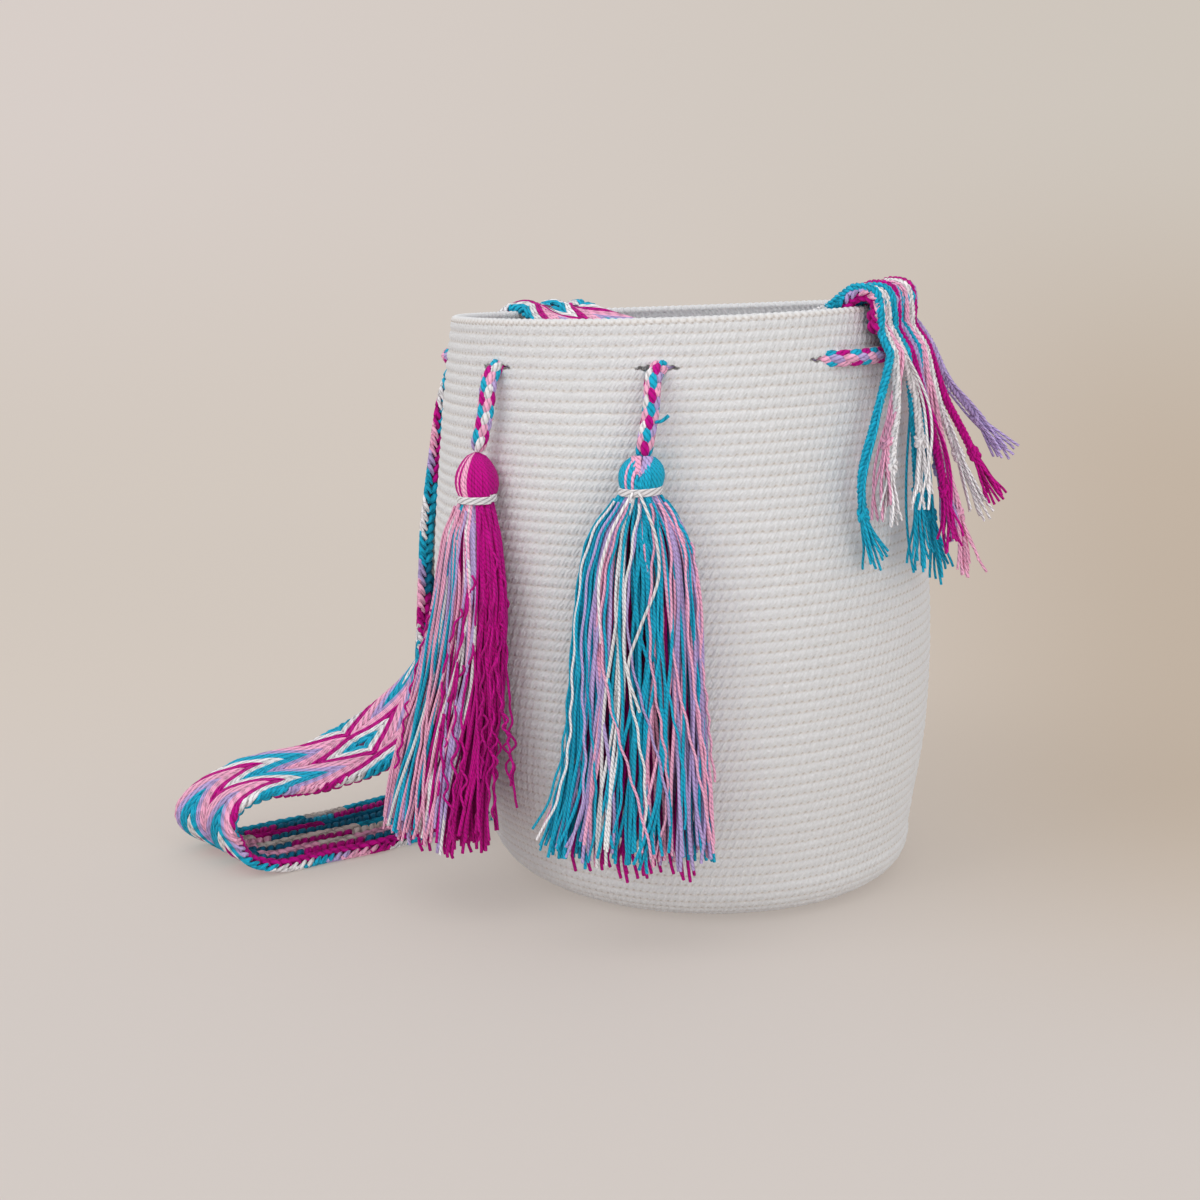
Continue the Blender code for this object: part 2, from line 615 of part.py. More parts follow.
def make_fringe(side, azimuth, depth, ropes, shoulder, materials):
    """The row of ropes that one end of the strap runs out into."""
    pitch = (STRAP_WIDTH - ROPE_DIAMETER - 2 * ROPE_GAP) / (len(ropes) - 1)
    for index, tip in enumerate(ropes):
        offset = (index - 0.5 * (len(ropes) - 1)) * pitch
        path = rope_path(azimuth, offset, depth, tip, shoulder)
        make_rope("fringe_%s_%02d" % (side, index + 1), path, materials[index])


def main():
    for piece in list(bpy.data.objects):
        bpy.data.objects.remove(piece, do_unlink=True)
    cream = make_material("cream_cotton", CREAM)
    band = make_material("plaited_band", PINK)
    braid = make_material("braided_cord", TEAL)
    left_yarn = make_material("left_tassel_yarn", MAGENTA)
    right_yarn = make_material("right_tassel_yarn", TEAL)
    tie_yarn = make_material("tie_yarn", WHITE)
    rope_materials = [make_material("rope_yarn_%02d" % (index + 1), colour)
                      for index, colour in enumerate(ROPE_COLOURS)]
    make_body(cream)
    make_drawstring(braid)
    make_tassel("tassel_left", LEFT_CORD_END, LEFT_NECK_AZIMUTH, LEFT_SKIRT, left_yarn)
    make_tie("tassel_left_tie", LEFT_CORD_END, LEFT_NECK_AZIMUTH, tie_yarn)
    make_tassel("tassel_right", RIGHT_CORD_END, RIGHT_NECK_AZIMUTH, RIGHT_SKIRT, right_yarn)
    make_tie("tassel_right_tie", RIGHT_CORD_END, RIGHT_NECK_AZIMUTH, tie_yarn)
    make_strap(band)
    make_fringe("right", RIGHT_END_AZIMUTH, RIGHT_END_DEPTH, RIGHT_ROPES, CORD_SHOULDER, rope_materials)
    make_fringe("left", LEFT_END_AZIMUTH, LEFT_END_DEPTH, LEFT_ROPES, 0.0, rope_materials)


main()
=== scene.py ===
"""Looks of the crocheted bucket bag: stitches, braid, tassels, plaited strap and fringe.

Metres, +Z up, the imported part's own frame. Azimuths are in degrees about +Z, 0 at the
front and growing towards +X.
"""
import math

import bmesh
import bpy
import numpy as np
from mathutils import Matrix, Vector


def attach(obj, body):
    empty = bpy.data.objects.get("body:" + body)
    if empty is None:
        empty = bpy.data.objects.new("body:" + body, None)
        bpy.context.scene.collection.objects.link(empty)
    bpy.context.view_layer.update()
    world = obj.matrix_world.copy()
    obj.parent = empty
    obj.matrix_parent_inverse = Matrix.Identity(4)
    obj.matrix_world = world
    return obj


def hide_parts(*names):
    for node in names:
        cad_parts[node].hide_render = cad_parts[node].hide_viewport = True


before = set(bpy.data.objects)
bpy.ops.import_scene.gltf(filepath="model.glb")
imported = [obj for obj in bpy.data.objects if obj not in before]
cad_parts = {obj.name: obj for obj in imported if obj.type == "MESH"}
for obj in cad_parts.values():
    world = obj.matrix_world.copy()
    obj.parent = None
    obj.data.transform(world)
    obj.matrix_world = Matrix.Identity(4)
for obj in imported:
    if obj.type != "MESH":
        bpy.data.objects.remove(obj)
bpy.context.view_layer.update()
UP = np.array((0.0, 0.0, 1.0))

# Colours of the yarns
TEAL = (0.010, 0.415, 0.625)
DEEP_TEAL = (0.004, 0.175, 0.310)
PINK = (0.920, 0.445, 0.635)
MAGENTA = (0.530, 0.001, 0.245)
LAVENDER = (0.500, 0.385, 0.700)
WHITE = (0.850, 0.830, 0.850)
CREAM = (0.780, 0.720, 0.660)

# Crocheted body, as in the part's source
RIM_HEIGHT = 0.265
CORNER_RADIUS = 0.020
FOOT_RADIUS = 0.1005
WALL_KNOTS = ((0.020, 0.1005), (0.070, 0.1125), (0.130, 0.1160), (0.210, 0.1100), (0.265, 0.1042))
WALL = 0.0040
BASE_THICKNESS = 0.0045
ROW_PITCH = 0.0046
LEAN = 0.0148
LEAN_AZIMUTH = -62.0
LEAN_HEIGHT = 0.190
ROW_TILT = 0.0564
ROW_TILT_AZIMUTH = 68.0
BACK_SAG = 0.0070
BACK_AZIMUTH = 208.0

# Stitches
STITCHES = 195
COLUMNS_PER_STITCH = 4
RINGS_PER_ROW = 4
ROW_SHIFT = 0.42
ROW_DEPTH = 0.00100
STITCH_DEPTH = 0.00046
SCALLOP = 0.00036
FIRST_ROW = 0.0021
INNER_RINGS_PER_ROW = 2
INNER_THICKNESS = 0.0042
LIP_CORNERS = 8
BASE_COLUMNS = 260

# Eyelets and the cord
EYELET_AZIMUTHS = (21.2, 62.0, 106.0, 152.0, 198.0, 244.0, 290.0, 338.0)
EYELET_DEPTH = 0.0205
EYELET_HALF_WIDTH = 0.0086
EYELET_RISE = 0.0008
EYELET_DROP = 0.0005
SLIT_ROW = (EYELET_DEPTH - FIRST_ROW) / ROW_PITCH
CROSSING_SPAN = 6.0
CROSSING_STEPS = 4
RUN_STEPS = 5
CORD_OUTSIDE = 0.0046
CORD_INSIDE = -0.0089


def hermite(u, low, high, low_slope, high_slope):
    """Cubic between two values with the given end slopes, u from 0 to 1."""
    return ((2 * u**3 - 3 * u**2 + 1) * low + (u**3 - 2 * u**2 + u) * low_slope
            + (3 * u**2 - 2 * u**3) * high + (u**3 - u**2) * high_slope)


def through_knots(at, places, values):
    """Smooth curve through values at rising places, read at an array of places."""
    places, values = np.asarray(places, float), np.asarray(values, float)
    at = np.clip(np.asarray(at, float), places[0], places[-1])
    before = np.maximum(np.arange(len(places)) - 1, 0)
    after = np.minimum(np.arange(len(places)) + 1, len(places) - 1)
    slopes = (values[after] - values[before]) / (places[after] - places[before])
    index = np.clip(np.searchsorted(places, at) - 1, 0, len(places) - 2)
    span = places[index + 1] - places[index]
    u = (at - places[index]) / span
    return hermite(u, values[index], values[index + 1], slopes[index] * span, slopes[index + 1] * span)


def body_radius(height):
    """Radius of the wall's middle relief line at each height."""
    return through_knots(height, [k[0] for k in WALL_KNOTS], [k[1] for k in WALL_KNOTS])


def body_point(azimuth, radius, height):
    """Points of the slumped body at azimuths, radii and even heights."""
    azimuth, radius, height = np.broadcast_arrays(*(np.asarray(v, float) for v in (azimuth, radius, height)))
    angle = np.radians(azimuth)
    lean = LEAN * (1.0 - (1.0 - np.clip(height / LEAN_HEIGHT, 0.0, 1.0)) ** 2)
    lean_angle = math.radians(LEAN_AZIMUTH)
    t = np.clip((height - CORNER_RADIUS) / (RIM_HEIGHT - CORNER_RADIUS), 0.0, 1.0)
    tilt = ROW_TILT * t * (1.5 - 0.5 * t) * radius * np.cos(np.radians(azimuth - ROW_TILT_AZIMUTH))
    behind = 0.5 + 0.5 * np.cos(np.radians(azimuth - BACK_AZIMUTH))
    return np.stack((lean * math.sin(lean_angle) + radius * np.sin(angle),
                     -lean * math.cos(lean_angle) - radius * np.cos(angle),
                     height + tilt - BACK_SAG * t * t * behind * behind), axis=-1)


def wall_point(azimuth, out, height):
    """Points at a distance out from the wall's relief line."""
    return body_point(azimuth, body_radius(height) + np.asarray(out, float), height)


def outward(azimuth):
    """Unit vector straight out from the wall."""
    angle = math.radians(azimuth)
    return np.array((math.sin(angle), -math.cos(angle), 0.0))


def along(azimuth):
    """Unit vector round the wall, towards growing azimuth."""
    angle = math.radians(azimuth)
    return np.array((math.cos(angle), math.sin(angle), 0.0))


def unit(vectors):
    """Vectors at length one."""
    return vectors / np.maximum(np.linalg.norm(vectors, axis=-1, keepdims=True), 1e-12)


def eased(u):
    """Smooth step of a share from 0 to 1."""
    return u * u * (3 - 2 * u)


def run_along(points):
    """Distance along a line at each of its points."""
    return np.concatenate(([0.0], np.cumsum(np.linalg.norm(np.diff(points, axis=0), axis=1))))


def read_at(at, run, series):
    """Vectors of a line's series at distances along it."""
    return np.stack([np.interp(at, run, series[:, axis]) for axis in range(3)], axis=-1)


def beside(side, wide, up, high):
    """Offsets by widths along one vector and heights along another."""
    return side * wide[:, None] + up * high[:, None]


def uneven(first, second):
    """Repeatable scatter between 0 and 1 for pairs of whole numbers."""
    return (np.sin(first * 12.9898 + second * 78.233) * 43758.5453) % 1.0


# Node trees of materials

class Field:
    """A socket that takes part in Python expressions, each of which adds its Math nodes."""

    def __init__(self, nodes, socket):
        self.nodes = nodes
        self.socket = socket

    def math(self, operation, *values):
        return self.nodes.node("ShaderNodeMath", {"operation": operation}, dict(enumerate(values)))

    def __add__(self, other):
        return self.math("ADD", self, other)

    def __radd__(self, other):
        return self.math("ADD", other, self)

    def __sub__(self, other):
        return self.math("SUBTRACT", self, other)

    def __rsub__(self, other):
        return self.math("SUBTRACT", other, self)

    def __mul__(self, other):
        return self.math("MULTIPLY", self, other)

    def __rmul__(self, other):
        return self.math("MULTIPLY", other, self)

    def __truediv__(self, other):
        return self.math("DIVIDE", self, other)

    def __rtruediv__(self, other):
        return self.math("DIVIDE", other, self)


class Nodes:
    """A node tree whose nodes are made one by one."""

    def __init__(self, tree):
        self.tree = tree

    def feed(self, socket, value):
        """Give a socket a value or a link."""
        if isinstance(value, Field):
            self.tree.links.new(value.socket, socket)
        elif isinstance(value, tuple) and socket.type == "RGBA" and len(value) == 3:
            socket.default_value = (*value, 1.0)
        else:
            socket.default_value = value

    def node(self, kind, settings, inputs, output=0):
        """Add a node: its settings first, then the values or links of its sockets."""
        made = self.tree.nodes.new(kind)
        for name, value in settings.items():
            setattr(made, name, value)
        for name, value in inputs.items():
            self.feed(made.inputs[name], value)
        return Field(self, made.outputs[output])

    def wave(self, value):
        """Sine of a value."""
        return value.math("SINE", value)

    def least(self, first, second):
        """The lesser of two values."""
        return first.math("MINIMUM", first, second)

    def step(self, value, low, high):
        """Smooth step from 0 at low to 1 at high."""
        return self.node("ShaderNodeMapRange", {"interpolation_type": "SMOOTHSTEP"},
                         {"Value": value, "From Min": low, "From Max": high}, "Result")

    def blend(self, factor, first, second):
        """Mix of two colours."""
        return self.node("ShaderNodeMix", {"data_type": "RGBA"}, {0: factor, 6: first, 7: second}, 2)

    def dot(self, first, second):
        """Dot product of two vectors."""
        return self.node("ShaderNodeVectorMath", {"operation": "DOT_PRODUCT"}, {0: first, 1: second}, "Value")

    def scaled(self, colour, shade):
        """A colour times a value."""
        return self.node("ShaderNodeVectorMath", {"operation": "SCALE"}, {0: colour, "Scale": shade})

    def noise(self, vector, scale, detail=2.0):
        """Noise value at a vector."""
        inputs = {"Vector": vector, "Scale": scale, "Detail": detail}
        return self.node("ShaderNodeTexNoise", {}, inputs, "Fac")

    def place(self):
        """Object coordinates."""
        return self.node("ShaderNodeTexCoord", {}, {}, "Object")

    def attribute(self, name, output="Color"):
        """The piece's own attribute."""
        return self.node("ShaderNodeAttribute", {"attribute_name": name}, {}, output)

    def split(self, vector):
        """The three parts of a vector."""
        parts = self.node("ShaderNodeSeparateXYZ", {}, {"Vector": vector}).socket.node
        return [Field(self, socket) for socket in parts.outputs]


class Finish(Nodes):
    """A material with one Principled shader."""

    def __init__(self, name, roughness=0.9, sheen=0.0):
        self.material = bpy.data.materials.new(name)
        self.material.use_nodes = True
        super().__init__(self.material.node_tree)
        self.shader = self.tree.nodes["Principled BSDF"]
        self.shader.inputs["Roughness"].default_value = roughness
        self.shader.inputs["Specular IOR Level"].default_value = 0.18
        self.shader.inputs["Sheen Weight"].default_value = sheen
        self.shader.inputs["Sheen Roughness"].default_value = 0.5

    def bump(self, height, distance, strength=1.0):
        """Feed a bump to the shader's normal."""
        inputs = {"Height": height, "Distance": distance, "Strength": strength}
        normal = self.node("ShaderNodeBump", {}, inputs, "Normal")
        self.feed(self.shader.inputs["Normal"], normal)

    def colour(self, value):
        """Feed the base colour."""
        self.feed(self.shader.inputs["Base Color"], value)


def yarn_finish(name, turns, depth=0.00026, groove_shade=0.46, fuzz=0.25):
    """Two-ply yarn: its own tint, with painted shade in the grooves between the plies, and fine fibres."""
    finish = Finish(name, roughness=0.85, sheen=0.05)
    tint = finish.attribute("tint")
    along_yarn, cosine, sine = finish.split(finish.attribute("lie", "Vector"))
    phase = along_yarn * (turns * 2 * math.pi)
    cosine, sine = cosine * cosine - sine * sine, 2 * cosine * sine
    twist = sine * finish.wave(phase + 0.5 * math.pi) + cosine * finish.wave(phase)
    place = finish.place()
    fibre = finish.noise(place, 2600.0)
    patch = finish.noise(place, 120.0)
    groove = finish.step(twist, -1.0, 0.0)
    # Painted shade: the yarn is darkened in the grooves between its plies.
    shade = 1.04 - groove_shade + groove_shade * groove + (patch - 0.5) * 0.20 + (fibre - 0.5) * fuzz
    finish.colour(finish.scaled(tint, shade))
    finish.bump(groove + fibre * 0.35, depth, 0.9)
    return finish.material


def crochet_finish():
    """Pale cotton crochet: rows and stitches from the piece's own UV map, with painted shade in the valleys
    between rows and at the gaps between stitches.
    """
    finish = Finish("crochet_cotton", roughness=0.92, sheen=0.10)
    around, down, _ = finish.split(finish.node("ShaderNodeUVMap", {"uv_map": "UVMap"}, {}, "UV"))
    place = finish.place()
    wander = finish.noise(place, 260.0) - 0.5
    row = down.math("FLOOR", down)
    in_row = down - row
    stitch = down.math("FRACT", around + row * ROW_SHIFT + in_row * 0.35 + wander * 0.3)
    from_valley = finish.least(in_row, 1 - in_row)
    from_gap = finish.least(stitch, 1 - stitch)
    valley = 1 - finish.step(from_valley + wander * 0.10, 0.0, 0.19)
    gap = 1 - finish.step(from_gap, 0.0, 0.26)
    mottle = finish.noise(place, 950.0, 3.0)
    cloud = finish.noise(place, 14.0)
    fibre = finish.noise(place, 3200.0)
    light = finish.blend(cloud, (0.845, 0.850, 0.868), (0.885, 0.890, 0.908))
    # Painted shade: brownish grey in the valleys between rows.
    soft = finish.blend(valley * 0.40, light, (0.760, 0.695, 0.635))
    # Painted shade: darker spots where the stitch gaps meet the valleys.
    shaded_cotton = finish.blend(valley * gap * 0.55, soft, (0.450, 0.370, 0.300))
    shade = 0.945 + (mottle - 0.5) * 0.22 + (fibre - 0.5) * 0.10
    finish.colour(finish.scaled(shaded_cotton, shade))
    legs = finish.wave((stitch * 2 + in_row * 0.8) * (2 * math.pi)) * 0.5
    plies = finish.wave((stitch * 5 + in_row * 3.0) * (2 * math.pi)) * 0.25
    height = (legs + plies) * (1 - valley) * 0.6 + mottle * 1.3 - gap * 0.4 + fibre * 0.5
    finish.bump(height, 0.00050, 0.85)
    return finish.material


# Meshes from arrays

def finish_piece(name, mesh, nodes=(), material=None):
    """Link a mesh as a piece that rides on the bag and stands for its nodes."""
    piece = bpy.data.objects.new(name, mesh)
    bpy.context.scene.collection.objects.link(piece)
    if material is not None:
        mesh.materials.append(material)
    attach(piece, "root")
    if nodes:
        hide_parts(*nodes)
    return piece


def quad_mesh(name, points, quads, uvs, sharp_rings=()):
    """Mesh from points, quads and a UV for each corner, creased along the given rings of points."""
    mesh = bpy.data.meshes.new(name)
    points = np.asarray(points, np.float32).reshape(-1, 3)
    quads = np.asarray(quads, np.int32).reshape(-1, 4)
    mesh.vertices.add(len(points))
    mesh.vertices.foreach_set("co", points.ravel())
    mesh.loops.add(quads.size)
    mesh.loops.foreach_set("vertex_index", quads.ravel())
    mesh.polygons.add(len(quads))
    mesh.polygons.foreach_set("loop_start", np.arange(0, quads.size, 4, dtype=np.int32))
    mesh.update(calc_edges=True)
    layer = mesh.uv_layers.new(name="UVMap")
    layer.uv.foreach_set("vector", np.asarray(uvs, np.float32).ravel())
    mesh.shade_smooth()
    if sharp_rings:
        ring_of = np.full(len(points), -1)
        for number, ring in enumerate(sharp_rings):
            ring_of[ring] = number
        ends = np.empty(2 * len(mesh.edges), np.int32)
        mesh.edges.foreach_get("vertices", ends)
        first, second = ring_of[ends.reshape(-1, 2)].T
        crease = mesh.attributes.new("sharp_edge", "BOOLEAN", "EDGE")
        crease.data.foreach_set("value", (first == second) & (first >= 0))
    return mesh


# Camera and floor

CAMERA_AZIMUTH = 28.0
CAMERA_SIDE = -0.0512
CAMERA_BACK = 0.983
CAMERA_HEIGHT = 0.360
CAMERA_PITCH = 13.46
CAMERA_LENS = 63.9


def make_camera():
    """The photograph's view."""
    angle = math.radians(CAMERA_AZIMUTH)
    right = Vector((math.cos(angle), math.sin(angle), 0.0))
    away = Vector((-math.sin(angle), math.cos(angle), 0.0))
    pitch = math.radians(CAMERA_PITCH)
    forward = away * math.cos(pitch) - Vector((0.0, 0.0, math.sin(pitch)))
    up = right.cross(forward)
    turn = Matrix((right, up, -forward)).transposed().to_4x4()
    place = right * CAMERA_SIDE - away * CAMERA_BACK + Vector((0.0, 0.0, CAMERA_HEIGHT))
    data = bpy.data.cameras.new("camera")
    data.lens = CAMERA_LENS
    data.sensor_width = 36.0
    camera = bpy.data.objects.new("camera", data)
    camera.matrix_world = Matrix.Translation(place) @ turn
    bpy.context.scene.collection.objects.link(camera)
    bpy.context.scene.camera = camera
    return right, away


def make_lamp(name, place, target, size, power, colour):
    """A soft square lamp aimed at a point."""
    data = bpy.data.lights.new(name, "AREA")
    data.shape = "SQUARE"
    data.size = size
    data.energy = power
    data.color = colour
    lamp = bpy.data.objects.new(name, data)
    lamp.location = place
    lamp.rotation_mode = "QUATERNION"
    lamp.rotation_quaternion = (Vector(target) - Vector(place)).to_track_quat("-Z", "Y")
    bpy.context.scene.collection.objects.link(lamp)


FRONT_TONE = (0.616, 0.565, 0.532)
BACK_TONE = (0.648, 0.580, 0.520)
# Painted shade of the floor to the bag's right, away from the light
SIDE_TONE = (0.545, 0.455, 0.370)
# Painted light on the backdrop: lighter on its left and darker on its right, as the light falls from the left
TOP_LEFT_TONE = (0.690, 0.622, 0.585)
TOP_RIGHT_TONE = (0.615, 0.560, 0.500)
LIT_SHARE = 1.05
# Share of glow in the floor near the bag: painted light that lightens its shadows
SHADOW_RELIEF = 0.46
FLOOR_REACH = 60.0
FILL_STRENGTH = 0.75
FILL_COLOUR = (1.0, 0.992, 0.985)
LAMP_COLOUR = (1.0, 0.995, 0.99)

# Name, place to the right, away and up, target, size, power and colour
LAMPS = (("key", (-1.5, -0.9, 1.70), (0.0, 0.0, 0.12), 1.5, 12.7, FILL_COLOUR),
         ("fill", (0.8, -1.7, 0.36), (0.0, 0.0, 0.02), 1.6, 10.4, LAMP_COLOUR),
         ("above", (-0.2, -0.45, 1.35), (0.0, 0.05, 0.22), 0.8, 1.8, LAMP_COLOUR))


def top_tone(nodes, sideways):
    """Colour of the backdrop high up, painted lighter on its left and darker on its right as the light falls
    from the left.
    """
    return nodes.blend(nodes.step(sideways, -0.35, 0.35), TOP_LEFT_TONE, TOP_RIGHT_TONE)


def make_floor(right, away):
    """Pale floor that runs on into a glowing backdrop and keeps the shadow near the bag, lightened by a share
    of glow, with painted shade to the bag's right.
    """
    corners = [(x * FLOOR_REACH, y * FLOOR_REACH, 0.0) for x, y in ((-1, -1), (1, -1), (1, 1), (-1, 1))]
    mesh = bpy.data.meshes.new("floor")
    mesh.from_pydata(corners, [], [(0, 1, 2, 3)])
    floor = bpy.data.objects.new("floor", mesh)
    bpy.context.scene.collection.objects.link(floor)
    finish = Finish("floor_paper", roughness=0.95)
    place = finish.place()
    distance = finish.node("ShaderNodeVectorMath", {"operation": "LENGTH"}, {0: place}, "Value")
    deep = finish.dot(place, tuple(away))
    sideways = finish.dot(place, tuple(right)) / deep.math("MAXIMUM", deep + CAMERA_BACK, 0.4)
    tone = finish.blend(finish.step(deep, -0.25, 0.35), FRONT_TONE, BACK_TONE)
    # Painted shade: the floor is darker to the right of the bag, away from the light from the left.
    shaded = finish.step(sideways, 0.0, 0.26) * finish.step(deep, -0.30, 0.12)
    tone = finish.blend(shaded, tone, SIDE_TONE)
    nearness = 1.0 / (distance + CAMERA_BACK)
    tone = finish.blend(finish.step(nearness, 0.0, 0.5), top_tone(finish, sideways), tone)
    finish.colour(finish.scaled(tone, LIT_SHARE))
    # The floor glows: far off it stands for the backdrop, and near the bag its glow lightens the shadows as
    # painted light.
    glow = finish.node("ShaderNodeEmission", {}, {"Color": tone, "Strength": 1.0}, "Emission")
    glowing = SHADOW_RELIEF + finish.step(distance, 0.35, 1.1) * (1 - SHADOW_RELIEF)
    lit = Field(finish, finish.shader.outputs[0])
    mixed = finish.node("ShaderNodeMixShader", {}, {0: glowing, 1: lit, 2: glow})
    finish.feed(finish.tree.nodes["Material Output"].inputs["Surface"], mixed)
    mesh.materials.append(finish.material)


def make_studio(right, away):
    """Soft light from all round and three lamps, with the backdrop's tone for the camera."""
    world = bpy.data.worlds.new("studio")
    bpy.context.scene.world = world
    world.use_nodes = True
    sky = Nodes(world.node_tree)
    fill = Field(sky, sky.tree.nodes["Background"].outputs[0])
    fill.socket.node.inputs["Color"].default_value = (*FILL_COLOUR, 1.0)
    fill.socket.node.inputs["Strength"].default_value = FILL_STRENGTH
    direction = sky.node("ShaderNodeTexCoord", {}, {}, "Generated")
    # The camera sees the backdrop with its painted light, lighter to the left.
    tone = top_tone(sky, sky.dot(direction, tuple(right)))
    backdrop = sky.node("ShaderNodeBackground", {}, {"Color": tone})
    seen = sky.node("ShaderNodeLightPath", {}, {}, "Is Camera Ray")
    either = sky.node("ShaderNodeMixShader", {}, {0: seen, 1: fill, 2: backdrop})
    sky.feed(sky.tree.nodes["World Output"].inputs["Surface"], either)
    for name, (across, deep, height), target, size, power, colour in LAMPS:
        place = right * across + away * deep + Vector((0.0, 0.0, height))
        make_lamp(name, place, target, size, power, colour)


# Yarns: lines that are swept into tubes

def sweep_tree():
    """Tree that sweeps every line of a mesh into a tube of its own radius."""
    tree = bpy.data.node_groups.new("yarn_sweep", "GeometryNodeTree")
    face = tree.interface
    face.new_socket("Geometry", in_out="INPUT", socket_type="NodeSocketGeometry")
    sides = face.new_socket("Sides", in_out="INPUT", socket_type="NodeSocketInt")
    finish = face.new_socket("Finish", in_out="INPUT", socket_type="NodeSocketMaterial")
    face.new_socket("Geometry", in_out="OUTPUT", socket_type="NodeSocketGeometry")
    nodes = Nodes(tree)
    given = {socket.name: Field(nodes, socket) for socket in tree.nodes.new("NodeGroupInput").outputs}

    def named(name, kind):
        return nodes.node("GeometryNodeInputNamedAttribute", {"data_type": kind}, {"Name": name}, "Attribute")

    def stored(geometry, name, value):
        return nodes.node("GeometryNodeStoreNamedAttribute", {"data_type": "FLOAT_VECTOR", "domain": "POINT"},
                          {"Geometry": geometry, "Name": name, "Value": value})

    thick = named("thick", "FLOAT")
    curve = nodes.node("GeometryNodeMeshToCurve", {}, {"Mesh": given["Geometry"]})
    sized = nodes.node("GeometryNodeSetCurveRadius", {}, {"Curve": curve, "Radius": thick})
    circle = nodes.node("GeometryNodeCurvePrimitiveCircle", {}, {"Resolution": given["Sides"], "Radius": 1.0})
    ring = stored(circle, "around", nodes.node("GeometryNodeInputPosition", {}, {}))
    inputs = {"Curve": sized, "Profile Curve": ring, "Scale": thick, "Fill Caps": True}
    tube = nodes.node("GeometryNodeCurveToMesh", {}, inputs)
    cosine, sine, _ = nodes.split(named("around", "FLOAT_VECTOR"))
    lie = nodes.node("ShaderNodeCombineXYZ", {}, {0: named("run", "FLOAT"), 1: cosine, 2: sine})
    inputs = {"Geometry": stored(tube, "lie", lie), "Shade Smooth": True}
    smooth = nodes.node("GeometryNodeSetShadeSmooth", {}, inputs)
    real = nodes.node("GeometryNodeRealizeInstances", {}, {"Geometry": smooth})
    dressed = nodes.node("GeometryNodeSetMaterial", {}, {"Geometry": real, "Material": given["Finish"]})
    nodes.feed(tree.nodes.new("NodeGroupOutput").inputs["Geometry"], dressed)
    return tree, sides.identifier, finish.identifier


SWEEP, SWEEP_SIDES, SWEEP_FINISH = sweep_tree()


def swept(name, mesh, sides, material):
    """Run a mesh of lines through the sweep tree and return the plain mesh that comes out."""
    carrier = bpy.data.objects.new(name + "_lines", mesh)
    bpy.context.scene.collection.objects.link(carrier)
    modifier = carrier.modifiers.new("sweep", "NODES")
    modifier.node_group = SWEEP
    modifier[SWEEP_SIDES] = sides
    modifier[SWEEP_FINISH] = material
    made = bpy.data.meshes.new_from_object(carrier.evaluated_get(bpy.context.evaluated_depsgraph_get()))
    made.name = name
    carrier.modifiers.remove(modifier)
    bpy.data.objects.remove(carrier, do_unlink=True)
    bpy.data.meshes.remove(mesh)
    return made


class Yarns:
    """A set of yarns, each a line of points with a thickness and a tint."""

    def __init__(self):
        self.lines = []

    def add(self, points, radius, tint):
        """One more yarn, a little lighter or darker than the others."""
        points = np.asarray(points, float)
        number = len(self.lines)
        radius = np.broadcast_to(np.asarray(radius, float), (len(points),))
        shade = 0.90 + 0.20 * uneven(number % 89, 7)
        tint = np.broadcast_to((*(np.asarray(tint, float) * shade), 1.0), (len(points), 4))
        self.lines.append((points, radius, 0.00137 * (number % 23) + run_along(points), tint))

    def piece(self, name, sides, material, slot, nodes=()):
        """Sweep the yarns into one piece."""
        points, radii, runs, tints = (np.concatenate(series).astype(np.float32)
                                      for series in zip(*self.lines))
        ends = np.cumsum([len(line[0]) for line in self.lines]) - 1
        first = np.setdiff1d(np.arange(len(points)), ends)
        mesh = bpy.data.meshes.new(name + "_lines")
        mesh.vertices.add(len(points))
        mesh.vertices.foreach_set("co", points.ravel())
        mesh.edges.add(len(first))
        mesh.edges.foreach_set("vertices", np.stack((first, first + 1), 1).astype(np.int32).ravel())
        mesh.attributes.new("thick", "FLOAT", "POINT").data.foreach_set("value", radii)
        mesh.attributes.new("run", "FLOAT", "POINT").data.foreach_set("value", runs)
        mesh.attributes.new("tint", "FLOAT_COLOR", "POINT").data.foreach_set("color", tints.ravel())
        mesh.update()
        return finish_piece(name, swept(name, mesh, sides, material), nodes)


def smooth_line(points, step):
    """Points a step apart along a smooth curve through the given points."""
    points = np.asarray(points, float)
    run = run_along(points)
    at = np.linspace(0.0, run[-1], max(int(round(run[-1] / step)), 2) + 1)
    return np.stack([through_knots(at, run, points[:, axis]) for axis in range(3)], axis=1)


def carried_frames(points, first_side):
    """Sideways and upward unit vectors carried along a line without twist."""
    tangents = unit(np.gradient(points, axis=0))
    side, sides = first_side, []
    for tangent in tangents:
        side = unit(side - tangent * np.dot(side, tangent))
        sides.append(side)
    return np.array(sides), np.cross(tangents, sides)


# Drawstring

RIGHT_CORD_END = ((33.0, -8.9, 0.0), (29.0, -8.9, -0.2), (25.5, -7.7, -0.6), (22.9, -4.2, -0.5),
                  (21.1, 1.0, 0.9), (20.5, 5.2, 4.6), (20.4, 6.8, 10.5), (20.2, 7.1, 17.5),
                  (19.6, 7.6, 25.5), (19.0, 8.8, 34.5))
LEFT_CORD_END = ((-33.0, -8.9, 0.0), (-29.0, -8.9, -0.2), (-25.5, -7.7, -0.6), (-22.9, -4.2, -0.5),
                 (-21.0, 1.0, 0.9), (-20.2, 5.2, 4.6), (-19.6, 6.8, 10.5), (-19.6, 7.1, 17.5),
                 (-20.1, 7.6, 26.5), (-20.7, 8.8, 36.0))
CORD_STUB = ((21.3, 8.6, 21.0), (22.6, 10.4, 20.4), (24.0, 11.2, 18.2))


